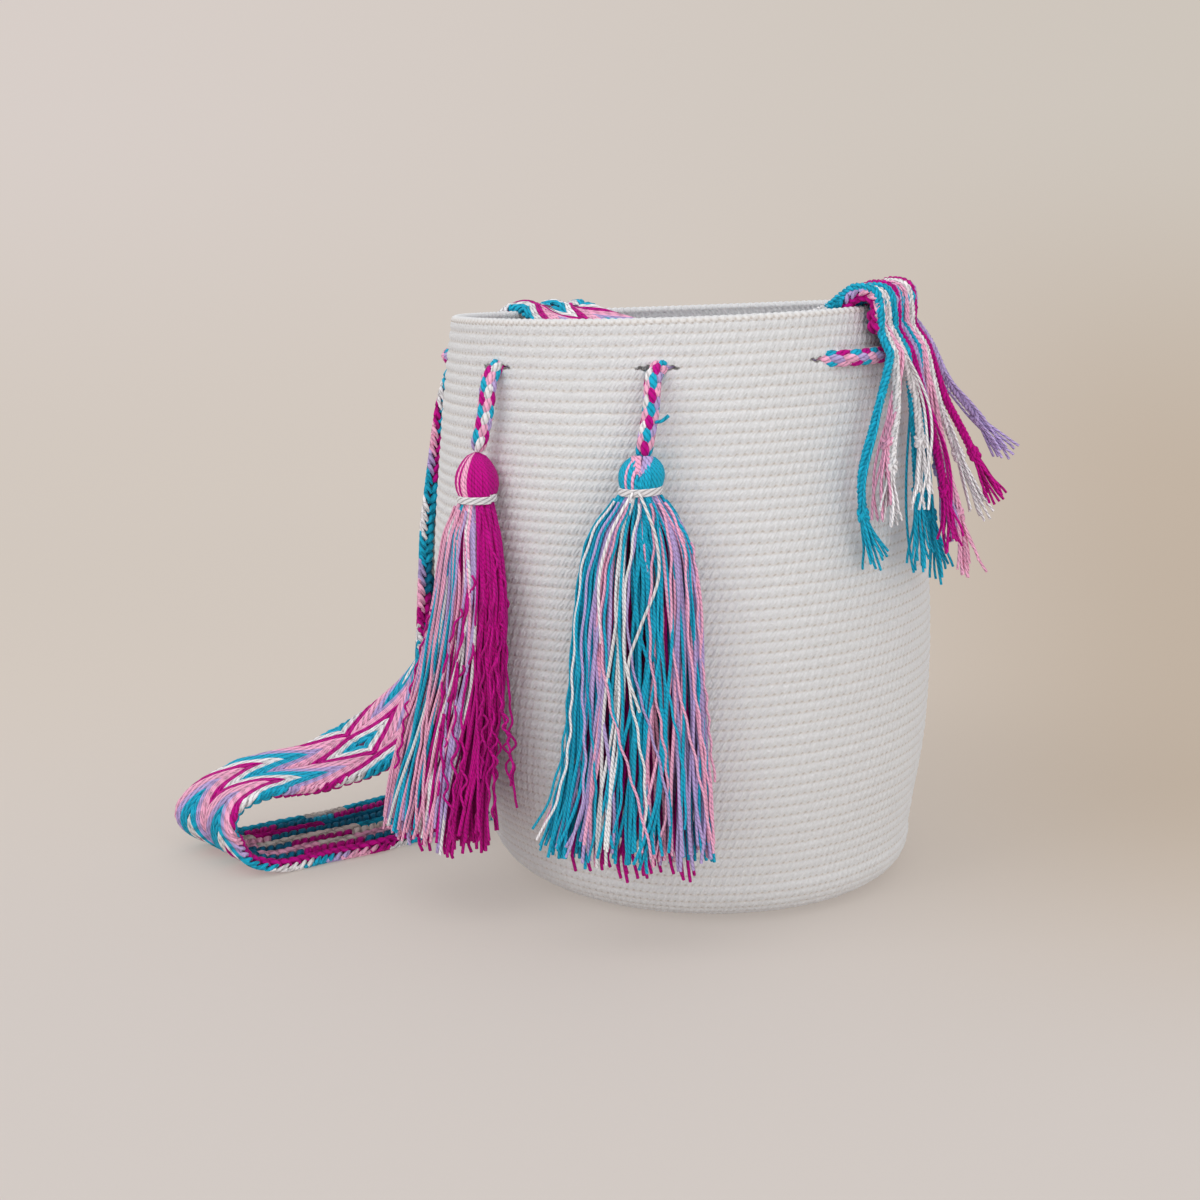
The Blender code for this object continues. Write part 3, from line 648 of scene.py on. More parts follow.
def cord_end_points(end):
    """One free end of the drawstring."""
    height = RIM_HEIGHT - EYELET_DEPTH
    return [wall_point(azimuth, out / 1000, height - down / 1000) for azimuth, out, down in end]

def lacing_out(azimuth):
    """How far out the laced cord runs at an azimuth, outside or inside the wall."""
    side = -1.0
    for index, eyelet in enumerate(EYELET_AZIMUTHS[1:-1]):
        u = min(max((azimuth - eyelet + CROSSING_SPAN) / (2 * CROSSING_SPAN), 0.0), 1.0)
        turn = eased(u)
        side += 2 * turn if index % 2 == 0 else -2 * turn
    return 0.5 * (CORD_OUTSIDE + CORD_INSIDE) + 0.5 * side * (CORD_OUTSIDE - CORD_INSIDE)


def drawstring_route():
    """The whole drawstring, from the right tassel round to the left one."""
    points = list(reversed(cord_end_points(RIGHT_CORD_END)))
    azimuths = []
    run_start = RIGHT_CORD_END[0][0]
    for eyelet in EYELET_AZIMUTHS[1:-1]:
        azimuths.extend(np.linspace(run_start, eyelet - CROSSING_SPAN, RUN_STEPS + 1)[1:])
        azimuths.extend(np.linspace(eyelet - CROSSING_SPAN, eyelet + CROSSING_SPAN, CROSSING_STEPS + 1)[1:])
        run_start = eyelet + CROSSING_SPAN
    azimuths.extend(np.linspace(run_start, 360.0 + LEFT_CORD_END[0][0], RUN_STEPS + 1)[1:-1])
    for azimuth in azimuths:
        points.append(wall_point(azimuth, lacing_out(azimuth), RIM_HEIGHT - EYELET_DEPTH))
    points.extend(cord_end_points(LEFT_CORD_END))
    return np.array(points)


BRAID_COLUMNS = ((MAGENTA, TEAL), (PINK, LAVENDER), (TEAL, PINK, MAGENTA), (WHITE, PINK),
                 (TEAL, LAVENDER, MAGENTA), (PINK, WHITE))
BRAID_PITCH = 0.0054
BRAID_LUMP = 0.0084
BRAID_SLANT = 0.34
BRAID_LOW = 0.00150
BRAID_HIGH = 0.00280
BRAID_YARN = 0.00118
BRAID_POINTS = 6


def make_drawstring(material):
    """The braided cord laced through the eyelets: six columns of three yarns that come up and go under."""
    route = drawstring_route()
    line = smooth_line(route, 0.0015)
    sides, ups = carried_frames(line, outward(CAMERA_AZIMUTH))
    run = run_along(line)
    share = np.linspace(0.0, 1.0, BRAID_POINTS)
    hump = np.sin(math.pi * share)
    yarns = Yarns()
    for column, tints in enumerate(BRAID_COLUMNS):
        slant = BRAID_SLANT if column % 2 else -BRAID_SLANT
        for lump in range(int(run[-1] / BRAID_PITCH)):
            at = np.clip((lump + 0.5 * (column % 2) - 0.2) * BRAID_PITCH + share * BRAID_LUMP, 0.0, run[-1])
            middle, side, up = (read_at(at, run, series) for series in (line, sides, ups))
            for yarn in (-1, 0, 1):
                angle = math.pi * column / 3 + slant * (2 * share - 1) + 0.30 * yarn * (0.5 + 0.5 * hump)
                reach = BRAID_LOW + (BRAID_HIGH - BRAID_LOW) * hump ** 0.6 - 0.00022 * abs(yarn)
                offset = beside(side, np.cos(angle) * reach, up, np.sin(angle) * reach)
                yarns.add(middle + offset, BRAID_YARN * (0.55 + 0.45 * hump), tints[lump % len(tints)])
    stub = Yarns()
    stub.add(smooth_line(cord_end_points(CORD_STUB), 0.001), 0.0008, TEAL)
    stub.piece("braid_stub", 6, material, "braided_cord")
    return yarns.piece("braided_cord", 5, material, "braided_cord", ["drawstring"]), route


# Tassels

NECK_HALF_WIDTH = 0.0080
NECK_HALF_DEPTH = 0.0068
NECK_OUT = 0.0108
TOUCH_GAP = 0.0003
YARN_RADIUS = 0.00077
STRAY_RADIUS = 0.00058
YARN_STEPS = 46
HEAD_STEPS = 9
HEAD_YARNS = 48
HEAD_YARN_RADIUS = 0.00080
CLUSTERS = 31
WIDEST = 4
TIE_TURNS = 4
TIE_WIND = 0.0008

# Layers of the bundle from outside to core: yarns, nearest and furthest place, and how much longer
LAYERS = ((124, 0.92, 1.0, -0.015), (70, 0.60, 0.86, 0.0), (34, 0.1, 0.74, 0.0))

# Courses are azimuth, distance out and drop, spreads are drop, half width and half depth, in millimetres.
# Tints are given by the place from left, -1, to right, 1: each row is the least place and its tints.
LEFT_TASSEL = {
    "cord_end": LEFT_CORD_END, "azimuth": -18.6, "head_height": 0.0186, "bulge": 0.0024, "roundness": 3.0,
    "notch": False, "mixed": 0.75, "seed": 7, "core_longer": 0.0,
    "course": ((-18.6, 12.0, 14.0), (-18.8, 12.8, 44.0), (-23.0, 13.0, 78.0), (-27.0, 18.0, 106.0),
               (-29.5, 28.0, 134.0), (-31.0, 36.5, 157.0)),
    "spread": ((14.0, 14.4, 8.8), (32.0, 19.0, 9.4), (52.0, 21.6, 9.6), (78.0, 25.0, 10.2),
               (106.0, 28.5, 12.0), (134.0, 30.0, 14.5), (157.0, 30.5, 17.0)),
    "tints": ((0.36, (MAGENTA,)), (0.06, (MAGENTA, WHITE, LAVENDER, MAGENTA, LAVENDER, MAGENTA)),
              (-0.24, (PINK, LAVENDER, MAGENTA, WHITE, PINK)), (-0.48, (PINK, TEAL, PINK, MAGENTA, PINK)),
              (-0.78, (TEAL, PINK, TEAL, TEAL, LAVENDER)), (-9.0, (PINK, WHITE, LAVENDER, PINK))),
    "head_tints": ((-0.10, (MAGENTA,)), (-0.66, (PINK, TEAL, LAVENDER, PINK, WHITE, MAGENTA)),
                   (-9.0, (MAGENTA,)))}
RIGHT_TASSEL = {
    "cord_end": RIGHT_CORD_END, "azimuth": 18.7, "head_height": 0.0132, "bulge": 0.0016, "roundness": 5.0,
    "notch": True, "mixed": 0.35, "seed": 11, "core_longer": 0.045,
    "course": ((18.7, 12.0, 14.0), (18.7, 12.8, 42.0), (18.0, 12.8, 74.0), (17.0, 14.5, 104.0),
               (15.5, 18.5, 130.0), (13.5, 23.5, 155.0)),
    "spread": ((12.0, 17.0, 8.6), (26.0, 22.6, 9.0), (50.0, 25.6, 9.2), (74.0, 27.0, 9.4),
               (104.0, 29.0, 10.4), (130.0, 32.0, 11.0), (155.0, 35.5, 12.5)),
    "tints": ((0.84, (TEAL, PINK, LAVENDER)), (0.60, (PINK, LAVENDER, PINK)),
              (0.30, (LAVENDER, TEAL, LAVENDER, PINK)), (-0.22, (TEAL,) * 7 + (PINK,)),
              (-0.32, (WHITE, LAVENDER, TEAL, WHITE)), (-0.60, (LAVENDER, LAVENDER, WHITE, LAVENDER, PINK)),
              (-0.80, (PINK, TEAL, LAVENDER)), (-9.0, (TEAL,))),
    "head_tints": ((-0.15, (TEAL,)), (-0.75, (PINK, TEAL, LAVENDER, TEAL)), (-9.0, (TEAL,)))}

# Strays: angle, start, length and lean, with the tint on the right
LEFT_STRAYS = ((0.15, 0.020, 0.150, 0.003), (0.32, 0.034, 0.152, -0.001), (0.02, 0.045, 0.140, 0.005),
               (0.50, 0.028, 0.120, 0.001), (-0.20, 0.030, 0.147, 0.004), (0.70, 0.050, 0.146, -0.002),
               (-0.50, 0.040, 0.135, 0.020), (-0.35, 0.060, 0.125, 0.013), (0.00, 0.050, 0.118, 0.014),
               (0.95, 0.030, 0.150, 0.000), (1.25, 0.045, 0.130, -0.002), (1.05, 0.070, 0.152, 0.004))
RIGHT_STRAYS = ((2.6, 0.004, 0.146, -0.014, WHITE), (2.8, 0.010, 0.142, -0.012, TEAL),
                (2.3, 0.004, 0.152, -0.009, LAVENDER), (1.1, 0.004, 0.150, -0.012, PINK),
                (1.9, 0.004, 0.150, 0.014, PINK), (0.4, 0.004, 0.150, 0.0, PINK),
                (0.1, 0.020, 0.120, 0.002, PINK), (1.5, 0.004, 0.148, -0.006, WHITE))
TIE_TAILS = ((1.5, ((0.004, 0.0042, -0.007), (0.008, 0.0062, -0.018), (0.009, 0.0070, -0.034),
                    (0.002, 0.0082, -0.054), (-0.003, 0.0090, -0.072), (0.002, 0.0098, -0.090))),
             (1.8, ((-0.004, 0.0042, -0.007), (-0.009, 0.0060, -0.018), (-0.013, 0.0062, -0.036),
                    (-0.012, 0.0070, -0.062))))


def tint_from(rows, across, pick):
    """Tint of a yarn by its place from left to right."""
    for least, tints in rows:
        if across > least:
            return tints[int(pick * len(tints))]


class Tassel:
    """A bundle of yarns: looped over at the head, bound at the neck, hanging as a skirt."""

    def __init__(self, given):
        self.given = given
        self.rng = np.random.default_rng(given["seed"])
        self.yarns = Yarns()
        azimuth = given["azimuth"]
        cord_drop = given["cord_end"][-1][2] / 1000
        self.neck_height = RIM_HEIGHT - EYELET_DEPTH - cord_drop - TOUCH_GAP - given["head_height"]
        self.neck = wall_point(azimuth, NECK_OUT, self.neck_height)
        self.side, self.front = along(azimuth), outward(azimuth)
        self.top = cord_end_points(given["cord_end"])[-1]
        rows = [(0.0, azimuth, NECK_OUT)]
        rows += [(drop / 1000, turn, out / 1000) for turn, out, drop in given["course"]]
        self.course = np.array(rows).T
        rows = [(0.0, NECK_HALF_WIDTH, NECK_HALF_DEPTH)]
        self.spread = np.array(rows + [tuple(v / 1000 for v in row) for row in given["spread"]]).T
        self.longest = self.course[0][-1]
        self.turn = math.radians(azimuth - CAMERA_AZIMUTH)

    def across(self, angle):
        """Place of a yarn from the left, -1, to the right, 1, as the bag's front shows it."""
        wide = math.cos(self.turn) * self.spread[1][WIDEST]
        deep = math.sin(self.turn) * self.spread[2][WIDEST]
        return (wide * math.cos(angle) + deep * math.sin(angle)) / math.hypot(wide, deep)

    def skirt(self, drop, swing, reach, sideways, outwards):
        """Points of a yarn at drops below the neck."""
        turn, out = (through_knots(drop, self.course[0], row) for row in self.course[1:])
        wide, deep = (through_knots(drop, self.spread[0], row) * reach for row in self.spread[1:])
        return wall_point(turn, out, self.neck_height - drop) + beside(
            self.side, wide * np.cos(swing) + sideways, self.front, deep * np.sin(swing) + outwards)

    def head(self, angle, pick):
        """One yarn from the head's top down to the neck."""
        across = self.across(angle)
        highest = 1.0
        if self.given["notch"] and abs(across + 0.05) < 0.5 and math.sin(angle) > 0:
            highest = 0.40 + 1.1 * abs(across + 0.05)
        share = highest * np.linspace(1.0, 0.0, HEAD_STEPS) ** 0.8
        round_off = np.sqrt(np.clip(1.0 - (share / highest) ** self.given["roundness"], 0.0, 1.0))
        bulge = self.given["bulge"] * np.sin(math.pi * share ** 0.85) - 0.0006
        wide = (NECK_HALF_WIDTH + bulge) * round_off * math.cos(angle)
        deep = (NECK_HALF_DEPTH + bulge) * round_off * math.sin(angle)
        line = self.neck + (self.top - self.neck) * share[:, None] + beside(self.side, wide, self.front, deep)
        self.yarns.add(line, HEAD_YARN_RADIUS, tint_from(self.given["head_tints"], across, pick))

    def strand(self, angle, spread, neck_spread, length, tint):
        """One yarn of the bundle."""
        rng = self.rng
        drop = np.linspace(0.0, length, YARN_STEPS)
        share = drop / self.longest
        reach = neck_spread + (spread - neck_spread) * eased(np.clip(drop / 0.016, 0.0, 1.0))
        loose = rng.choice((0.04, 0.09, 0.20))
        swing = angle + rng.normal(0.0, loose) * share
        swing = swing + rng.normal(0.0, loose) * np.sin(share * rng.uniform(3, 7))
        tip = np.clip((share - 0.78) / 0.22, 0.0, 1.0) ** 2

        def wander(size):
            return size * np.sin(share * rng.uniform(5, 13) + rng.uniform(0, 6.28)) * np.clip(share * 3, 0, 1)

        sideways = wander(0.0013) + rng.normal(0.0, 0.0020) * tip
        outwards = wander(0.0007) + abs(rng.normal(0.0, 0.0012)) * tip
        self.yarns.add(self.skirt(drop, swing, reach, sideways, outwards), YARN_RADIUS, tint)

    def pick(self, angle, layer):
        """Draw for a yarn's tint, mostly shared with the yarns beside it."""
        if self.rng.random() < self.given["mixed"]:
            return self.rng.random()
        return float(uneven(math.floor(angle * CLUSTERS / (2 * math.pi)), layer))

    def bundle(self):
        """All the yarns, from the outside of the bundle to its magenta core."""
        rng = self.rng
        for index in range(HEAD_YARNS):
            self.head(2 * math.pi * (index + 0.4 * rng.random()) / HEAD_YARNS, rng.random())
        for layer, (count, low, high, longer) in enumerate(LAYERS):
            core = layer == len(LAYERS) - 1
            longer = self.given["core_longer"] if core else longer
            for index in range(count):
                angle = 2 * math.pi * (index + 0.6 * rng.random()) / count
                neck_spread = rng.uniform(0.50, 0.92) * high
                length = self.longest * (1.0 + longer + rng.uniform(-0.050, 0.025))
                tint = MAGENTA
                if not core:
                    tint = tint_from(self.given["tints"], self.across(angle), self.pick(angle, layer))
                self.strand(angle, rng.uniform(low, high), neck_spread, length, tint)

    def stray(self, angle, start, length, lean, tint, crimp, spread=1.04, late=4.0):
        """A thin yarn that lies over the others, crimped where it was unpicked."""
        drop = np.linspace(start, length, 90)
        share = (drop - start) / (length - start)
        kinks = self.rng.uniform(40, 60)
        sideways = crimp * np.sin(share * kinks + 1.5 * np.sin(share * 9)) + lean * share ** late
        outwards = 0.0008 + crimp * 0.7 * np.cos(share * kinks * 0.83 + 1.0)
        points = self.skirt(drop, angle + 0.25 * np.sin(share * 5), spread, sideways, outwards)
        self.yarns.add(points, STRAY_RADIUS, tint)

    def scatter(self, count):
        """Strays here and there over the bundle."""
        rng = self.rng
        for number in range(count):
            angle = 2 * math.pi * number / count + rng.uniform(0.0, 0.3)
            tint = tint_from(self.given["tints"], self.across(angle) + rng.normal(0.0, 0.3), rng.random())
            length = self.longest * rng.uniform(0.86, 1.02)
            self.stray(angle, 0.004, length, rng.normal(0.0, 0.006), tint, 0.0003, 1.0)

    def tie(self, name, tails, material):
        """White yarn wound round the neck, with its ends hanging where they show."""
        yarns = Yarns()
        angle = np.linspace(0.0, 2 * math.pi * TIE_TURNS, 40 * TIE_TURNS)
        rise = np.linspace(-0.0014, 0.0014, len(angle)) + 0.0006 * np.cos(angle)
        wide, deep = NECK_HALF_WIDTH + TIE_WIND, NECK_HALF_DEPTH + TIE_WIND
        wound = beside(self.side, wide * np.cos(angle), self.front, deep * np.sin(angle))
        yarns.add(self.neck + wound + UP * rise[:, None], 0.00062, WHITE)
        for start, path in tails:
            begin = (self.neck + self.side * (wide * math.cos(start))
                     + self.front * ((deep + 0.0006) * math.sin(start)))
            line = [begin] + [begin + self.side * a + self.front * b + UP * c for a, b, c in path]
            yarns.add(smooth_line(line, 0.0020), 0.00066, WHITE)
        yarns.piece(name + "_wound", 6, material, "white_yarn", [name])


def make_tassels(material, tie_material):
    """Both tassels with their stray yarns and ties."""
    left = Tassel(LEFT_TASSEL)
    left.bundle()
    for stray in LEFT_STRAYS:
        left.stray(*stray, MAGENTA, 0.0014, late=1.6)
    left.stray(2.4, 0.050, 0.125, 0.0, MAGENTA, 0.0010)
    left.stray(1.7, 0.004, 0.154, 0.010, PINK, 0.0002)
    left.scatter(12)
    left.yarns.piece("tassel_left_yarns", 5, material, "magenta_yarn", ["tassel_left"])
    right = Tassel(RIGHT_TASSEL)
    right.bundle()
    for stray in RIGHT_STRAYS:
        right.stray(*stray, 0.0004)
    right.scatter(14)
    for hand, tint in ((-1, PINK), (1, LAVENDER)):
        for yarn in range(3):
            bends = ((0.0036 - 0.0012 * yarn, 0.0030, 0.0), (0.0030 - 0.0012 * yarn, 0.0062, 0.0045),
                     (0.0012 - 0.0008 * yarn, 0.0070, 0.0085 - 0.0012 * yarn),
                     (-0.0004, 0.0050, 0.0125 - 0.0015 * yarn))
            arm = [right.top + right.side * (hand * wide) + right.front * out - UP * drop
                   for wide, out, drop in bends]
            line = smooth_line(arm, 0.0010)
            right.yarns.add(line, np.linspace(0.0011, 0.0007, len(line)), tint)
    right.yarns.piece("tassel_right_yarns", 5, material, "teal_yarn", ["tassel_right"])
    left.tie("tassel_left_tie", (), tie_material)
    right.tie("tassel_right_tie", TIE_TAILS, tie_material)


# Strap

STRAP_WIDTH = 0.060
STRAP_OUT = 0.0033
RIGHT_END_AZIMUTH = 88.0
RIGHT_END_DEPTH = 0.0108
LEFT_END_AZIMUTH = 220.0
LEFT_END_DEPTH = 0.0330
LEFT_END_TOP_DEPTH = 0.0120
CROSSING_AZIMUTH = 250.0
RIM_HUMP_HEIGHT = 0.0064
RIM_HUMP_REACH = 0.0075
LEFT_HUMP_HEIGHT = 0.0018
LEFT_HUMP_TILT = 0.05
MOUTH_SAG = 0.0120
FOLD_STAND_OFF = 0.0165
LEFT_SIDE_RUN = ((253.0, 9.6, 255.0), (256.6, 11.4, 243.0), (260.6, 10.6, 229.0), (265.0, 8.6, 212.0),
                 (269.2, 6.8, 190.0), (273.2, 5.8, 165.0), (277.0, 6.0, 135.0))
FLOOR_RUN = (((-138.0, -30.0, 98.0), (-0.32, 0.93, 0.12)), ((-144.0, -42.0, 68.0), (-0.54, 0.80, 0.22)),
             ((-153.5, -60.5, 49.0), (-0.62, 0.75, 0.20)), ((-167.0, -82.0, 41.0), (-0.57, 0.81, 0.06)),
             ((-181.5, -101.5, 39.5), (-0.67, 0.74, 0.00)), ((-188.5, -113.5, 38.5), (-0.74, 0.67, -0.04)),
             ((-196.5, -126.0, 33.0), (-0.83, 0.55, -0.08)), ((-200.0, -131.5, 20.5), (-0.90, 0.40, -0.12)),
             ((-196.0, -125.5, 8.5), (-0.89, 0.43, -0.05)), ((-187.0, -112.0, 3.0), (-0.88, 0.46, 0.00)),
             ((-176.0, -91.0, 2.6), (-0.87, 0.49, 0.00)), ((-163.0, -68.5, 2.6), (-0.86, 0.51, 0.00)),
             ((-153.5, -45.0, 2.6), (-0.88, 0.47, 0.00)), ((-145.5, -22.0, 2.6), (-0.92, 0.38, 0.00)),
             ((-128.0, 25.0, 2.6), (-0.935, 0.355, 0.00)), ((-114.0, 60.0, 3.2), (-0.935, 0.355, 0.00)),
             ((-103.5, 87.0, 12.0), (-0.935, 0.355, 0.00)), ((-98.5, 102.5, 36.0), (-0.935, 0.355, 0.00)),
             ((-97.0, 107.5, 66.0), (-0.94, 0.34, 0.00)))
BACK_RUN = ((217.5, 26.0, 100.0, 55.0), (218.5, 22.0, 140.0, 72.0), (219.3, 18.5, 180.0, 86.0),
            (220.0, 17.0, 215.0, 90.0), (220.0, 16.6, 238.0, 90.0))


def strap_stations():
    """Middle of the band and its width direction along the strap, right end to left end."""
    stations = []

    def on_wall(azimuth, out, height, width):
        stations.append((wall_point(azimuth, out, height), width))

    def over_rim(azimuth, angles, hump, width):
        for angle in angles:
            turn = math.radians(angle)
            rise = hump * math.sin(turn)
            point = wall_point(azimuth, -0.5 * WALL + RIM_HUMP_REACH * math.cos(turn), RIM_HEIGHT + rise)
            lean_angle = math.radians(LEAN_AZIMUTH)
            radius = math.hypot(point[0] - LEAN * math.sin(lean_angle),
                                point[1] + LEAN * math.cos(lean_angle))
            point[2] = body_point(azimuth, radius, RIM_HEIGHT)[2] + rise
            stations.append((point, width))

    right_width = along(RIGHT_END_AZIMUTH)
    for share in (0.0, 0.35, 0.7):
        on_wall(RIGHT_END_AZIMUTH, STRAP_OUT, RIM_HEIGHT - RIGHT_END_DEPTH * (1 - share), right_width)
    over_rim(RIGHT_END_AZIMUTH, (20, 60, 100, 140), RIM_HUMP_HEIGHT, right_width)
    start = wall_point(RIGHT_END_AZIMUTH, -2.2 * RIM_HUMP_REACH, RIM_HEIGHT)
    finish = wall_point(CROSSING_AZIMUTH, -1.8 * RIM_HUMP_REACH, RIM_HEIGHT)
    for step in range(7):
        share = step / 6
        middle = start + (finish - start) * share
        middle[2] -= 4 * MOUTH_SAG * share * (1 - share) + 0.002
        stations.append((middle, unit(right_width * (1 - share) - along(CROSSING_AZIMUTH) * share)))
    hump_width = unit(-along(CROSSING_AZIMUTH) - LEFT_HUMP_TILT * UP)
    over_rim(CROSSING_AZIMUTH, (140, 90, 40), LEFT_HUMP_HEIGHT, hump_width)
    for azimuth, out, height in LEFT_SIDE_RUN:
        on_wall(azimuth, out / 1000, height / 1000, -along(azimuth))
    for middle, width in FLOOR_RUN:
        stations.append((np.array(middle) / 1000, unit(np.array(width))))
    for azimuth, out, height, turn in BACK_RUN:
        angle = math.radians(turn)
        width = outward(azimuth) * math.cos(angle) + along(azimuth) * math.sin(angle)
        on_wall(azimuth, out / 1000, height / 1000, width)
    left_width = along(LEFT_END_AZIMUTH)
    top = RIM_HEIGHT - LEFT_END_TOP_DEPTH
    fold_out = 0.5 * (STRAP_OUT + FOLD_STAND_OFF)
    fold_half = 0.5 * (FOLD_STAND_OFF - STRAP_OUT)
    for angle in (0, 45, 90, 135, 180):
        turn = math.radians(angle)
        out = fold_out + fold_half * math.cos(turn)
        on_wall(LEFT_END_AZIMUTH, out, top + fold_half * math.sin(turn), left_width)
    for depth in (0.5 * (LEFT_END_TOP_DEPTH + LEFT_END_DEPTH), LEFT_END_DEPTH):
        on_wall(LEFT_END_AZIMUTH, STRAP_OUT, RIM_HEIGHT - depth, left_width)
    return stations


# The band is drawn together in pleats at its right end, towards the near edge, and over the left rim.
GATHER = 0.74
GATHER_REACH = 0.085
GATHER_PLEAT = 0.0012
LEFT_GATHER = 0.72
LEFT_GATHER_REACH = 0.075


class Band:
    """The strap's path: places, directions and faces along it."""

    def __init__(self, stations, step):
        middles, widths = (np.array(series) for series in zip(*stations))
        spans = np.sqrt(np.linalg.norm(np.diff(middles, axis=0), axis=1))
        line, turned = [], []
        for index, span in enumerate(spans):
            low_span = spans[max(index - 1, 0)]
            high_span = spans[min(index + 1, len(spans) - 1)]
            pieces = max(1, round(span * span / 0.002))
            shares = np.arange(pieces)[:, None] / pieces
            for series, out in ((middles, line), (widths, turned)):
                p1, p2 = series[index], series[index + 1]
                p0 = series[index - 1] if index else 2 * p1 - p2
                p3 = series[index + 2] if index + 2 < len(series) else 2 * p2 - p1
                low = (p1 - p0) * (span / low_span) - (p2 - p0) * (span / (low_span + span)) + (p2 - p1)
                high = (p2 - p1) - (p3 - p1) * (span / (span + high_span)) + (p3 - p2) * (span / high_span)
                out.append(hermite(shares, p1, p2, low, high))
        line = np.concatenate(line + [middles[-1:]])
        turned = np.concatenate(turned + [widths[-1:]])
        run = run_along(line)
        self.length = run[-1]
        self.at = np.linspace(0.0, self.length, int(round(self.length / step)) + 1)
        self.middle = read_at(self.at, run, line)
        width = read_at(self.at, run, turned)
        tangent = unit(np.gradient(self.middle, axis=0))
        self.width = unit(width - tangent * np.sum(width * tangent, axis=1, keepdims=True))
        self.face = unit(np.cross(tangent, self.width))
        over_rim = wall_point(CROSSING_AZIMUTH, -0.5 * WALL, RIM_HEIGHT)
        self.crossing = self.at[np.argmin(np.linalg.norm(self.middle - over_rim, axis=1))]

    def place(self, along_band, across, lift):
        """Points at distances along and across the band and above its patterned face."""
        along_band, across = np.broadcast_arrays(np.asarray(along_band, float), np.asarray(across, float))
        half = 0.5 * STRAP_WIDTH
        for centre, reach, share, anchor in ((0.0, GATHER_REACH, GATHER, -half),
                                             (self.crossing, LEFT_GATHER_REACH, LEFT_GATHER, half)):
            drawn = eased(np.clip(1.0 - np.abs(along_band - centre) / reach, 0.0, 1.0))
            lift = lift + GATHER_PLEAT * drawn * np.cos((across - anchor) / STRAP_WIDTH * 5 * math.pi)
            across = anchor + (across - anchor) * (1 - (1 - share) * drawn)
        middle, width, face = (read_at(along_band, self.at, series)
                               for series in (self.middle, self.width, self.face))
        return middle + width * np.asarray(across)[..., None] - face * np.asarray(lift)[..., None]


# Colours of the chevrons from a diamond's centre outwards, and how many strands each has.
CHEVRON = (TEAL, TEAL, TEAL, WHITE, WHITE, MAGENTA, MAGENTA, PINK, PINK, PINK, LAVENDER, LAVENDER)
STRAND_PITCH = 0.0044
ARM_WIDTH = 0.0150
ARM_RISE = 0.0310
TURN_PITCH = 0.250
PATTERN_SHIFT = 0.149
STRAND_RADIUS = 0.00104
EDGE_PITCH = 0.0042
REVERSE_PITCH = 0.0046
REVERSE_ROWS = 9
REVERSE_TINTS = (DEEP_TEAL, DEEP_TEAL, MAGENTA, PINK, CREAM, TEAL, MAGENTA)
CORE_HALF = 0.0009
FOLD_LAP = 0.0012
PLAIT_SLOT = "plaited_strap_yarn"


def zigzag(across):
    """Rise and fall of the chevrons across the band, from 0 to 1."""
    return 1.0 - np.abs(((across / ARM_WIDTH) * 0.5) % 1.0 - 0.5) * 2


def make_core(band, material):
    """The thin core of the band, under the plaited strands of both faces."""
    stations = band.at[::4]
    section = ((-0.5, 0.0), (-0.47, 1.0), (-0.25, 1.0), (0.0, 1.0), (0.25, 1.0), (0.47, 1.0),
               (0.5, 0.0), (0.47, -1.0), (0.25, -1.0), (0.0, -1.0), (-0.25, -1.0), (-0.47, -1.0))
    rings = [band.place(stations, np.full(len(stations), across * (STRAP_WIDTH - 0.003)),
                        np.full(len(stations), lift * CORE_HALF)) for across, lift in section]
    index = np.arange(len(stations) * len(section)).reshape(len(stations), -1)
    around = np.roll(index, -1, axis=1)
    faces = np.stack((index[:-1], around[:-1], around[1:], index[1:]), axis=-1).reshape(-1, 4).tolist()
    faces += [index[0].tolist()[::-1], index[-1].tolist()]
    mesh = bpy.data.meshes.new("strap_band")
    mesh.from_pydata(np.stack(rings, axis=1).reshape(-1, 3).tolist(), [], faces)
    face_out(mesh)
    mesh.shade_smooth()
    return finish_piece("strap_band", mesh, ["strap"], material)


def make_chevrons(band, material):
    """The strands of the patterned face, in nested chevrons and diamonds."""
    yarns = Yarns()
    turn = 0.5 * TURN_PITCH
    for cell in range(int(math.ceil(band.length / turn)) + 2):
        low_end = cell * turn - PATTERN_SHIFT
        for arm in range(4):
            across = np.linspace(arm * ARM_WIDTH, (arm + 1) * ARM_WIDTH, 15) - 0.5 * STRAP_WIDTH
            for level in range(int((turn + ARM_RISE) / STRAND_PITCH) + 1):
                fold = (level + 0.5) * STRAND_PITCH - ARM_RISE * zigzag(across)
                along_band = low_end + (fold if cell % 2 else turn - fold)
                keep = (fold > -FOLD_LAP) & (fold < turn + FOLD_LAP)
                keep &= (along_band > 0.0) & (along_band < band.length)
                if keep.sum() < 3:
                    continue
                share = np.linspace(0.0, 1.0, keep.sum())
                lift = 0.00150 - 0.0011 * (np.abs(2 * share - 1) ** 6)
                line = band.place(along_band[keep], across[keep], lift)
                yarns.add(line, STRAND_RADIUS, CHEVRON[level % len(CHEVRON)])
    return yarns.piece("strap_chevrons", 5, material, PLAIT_SLOT)


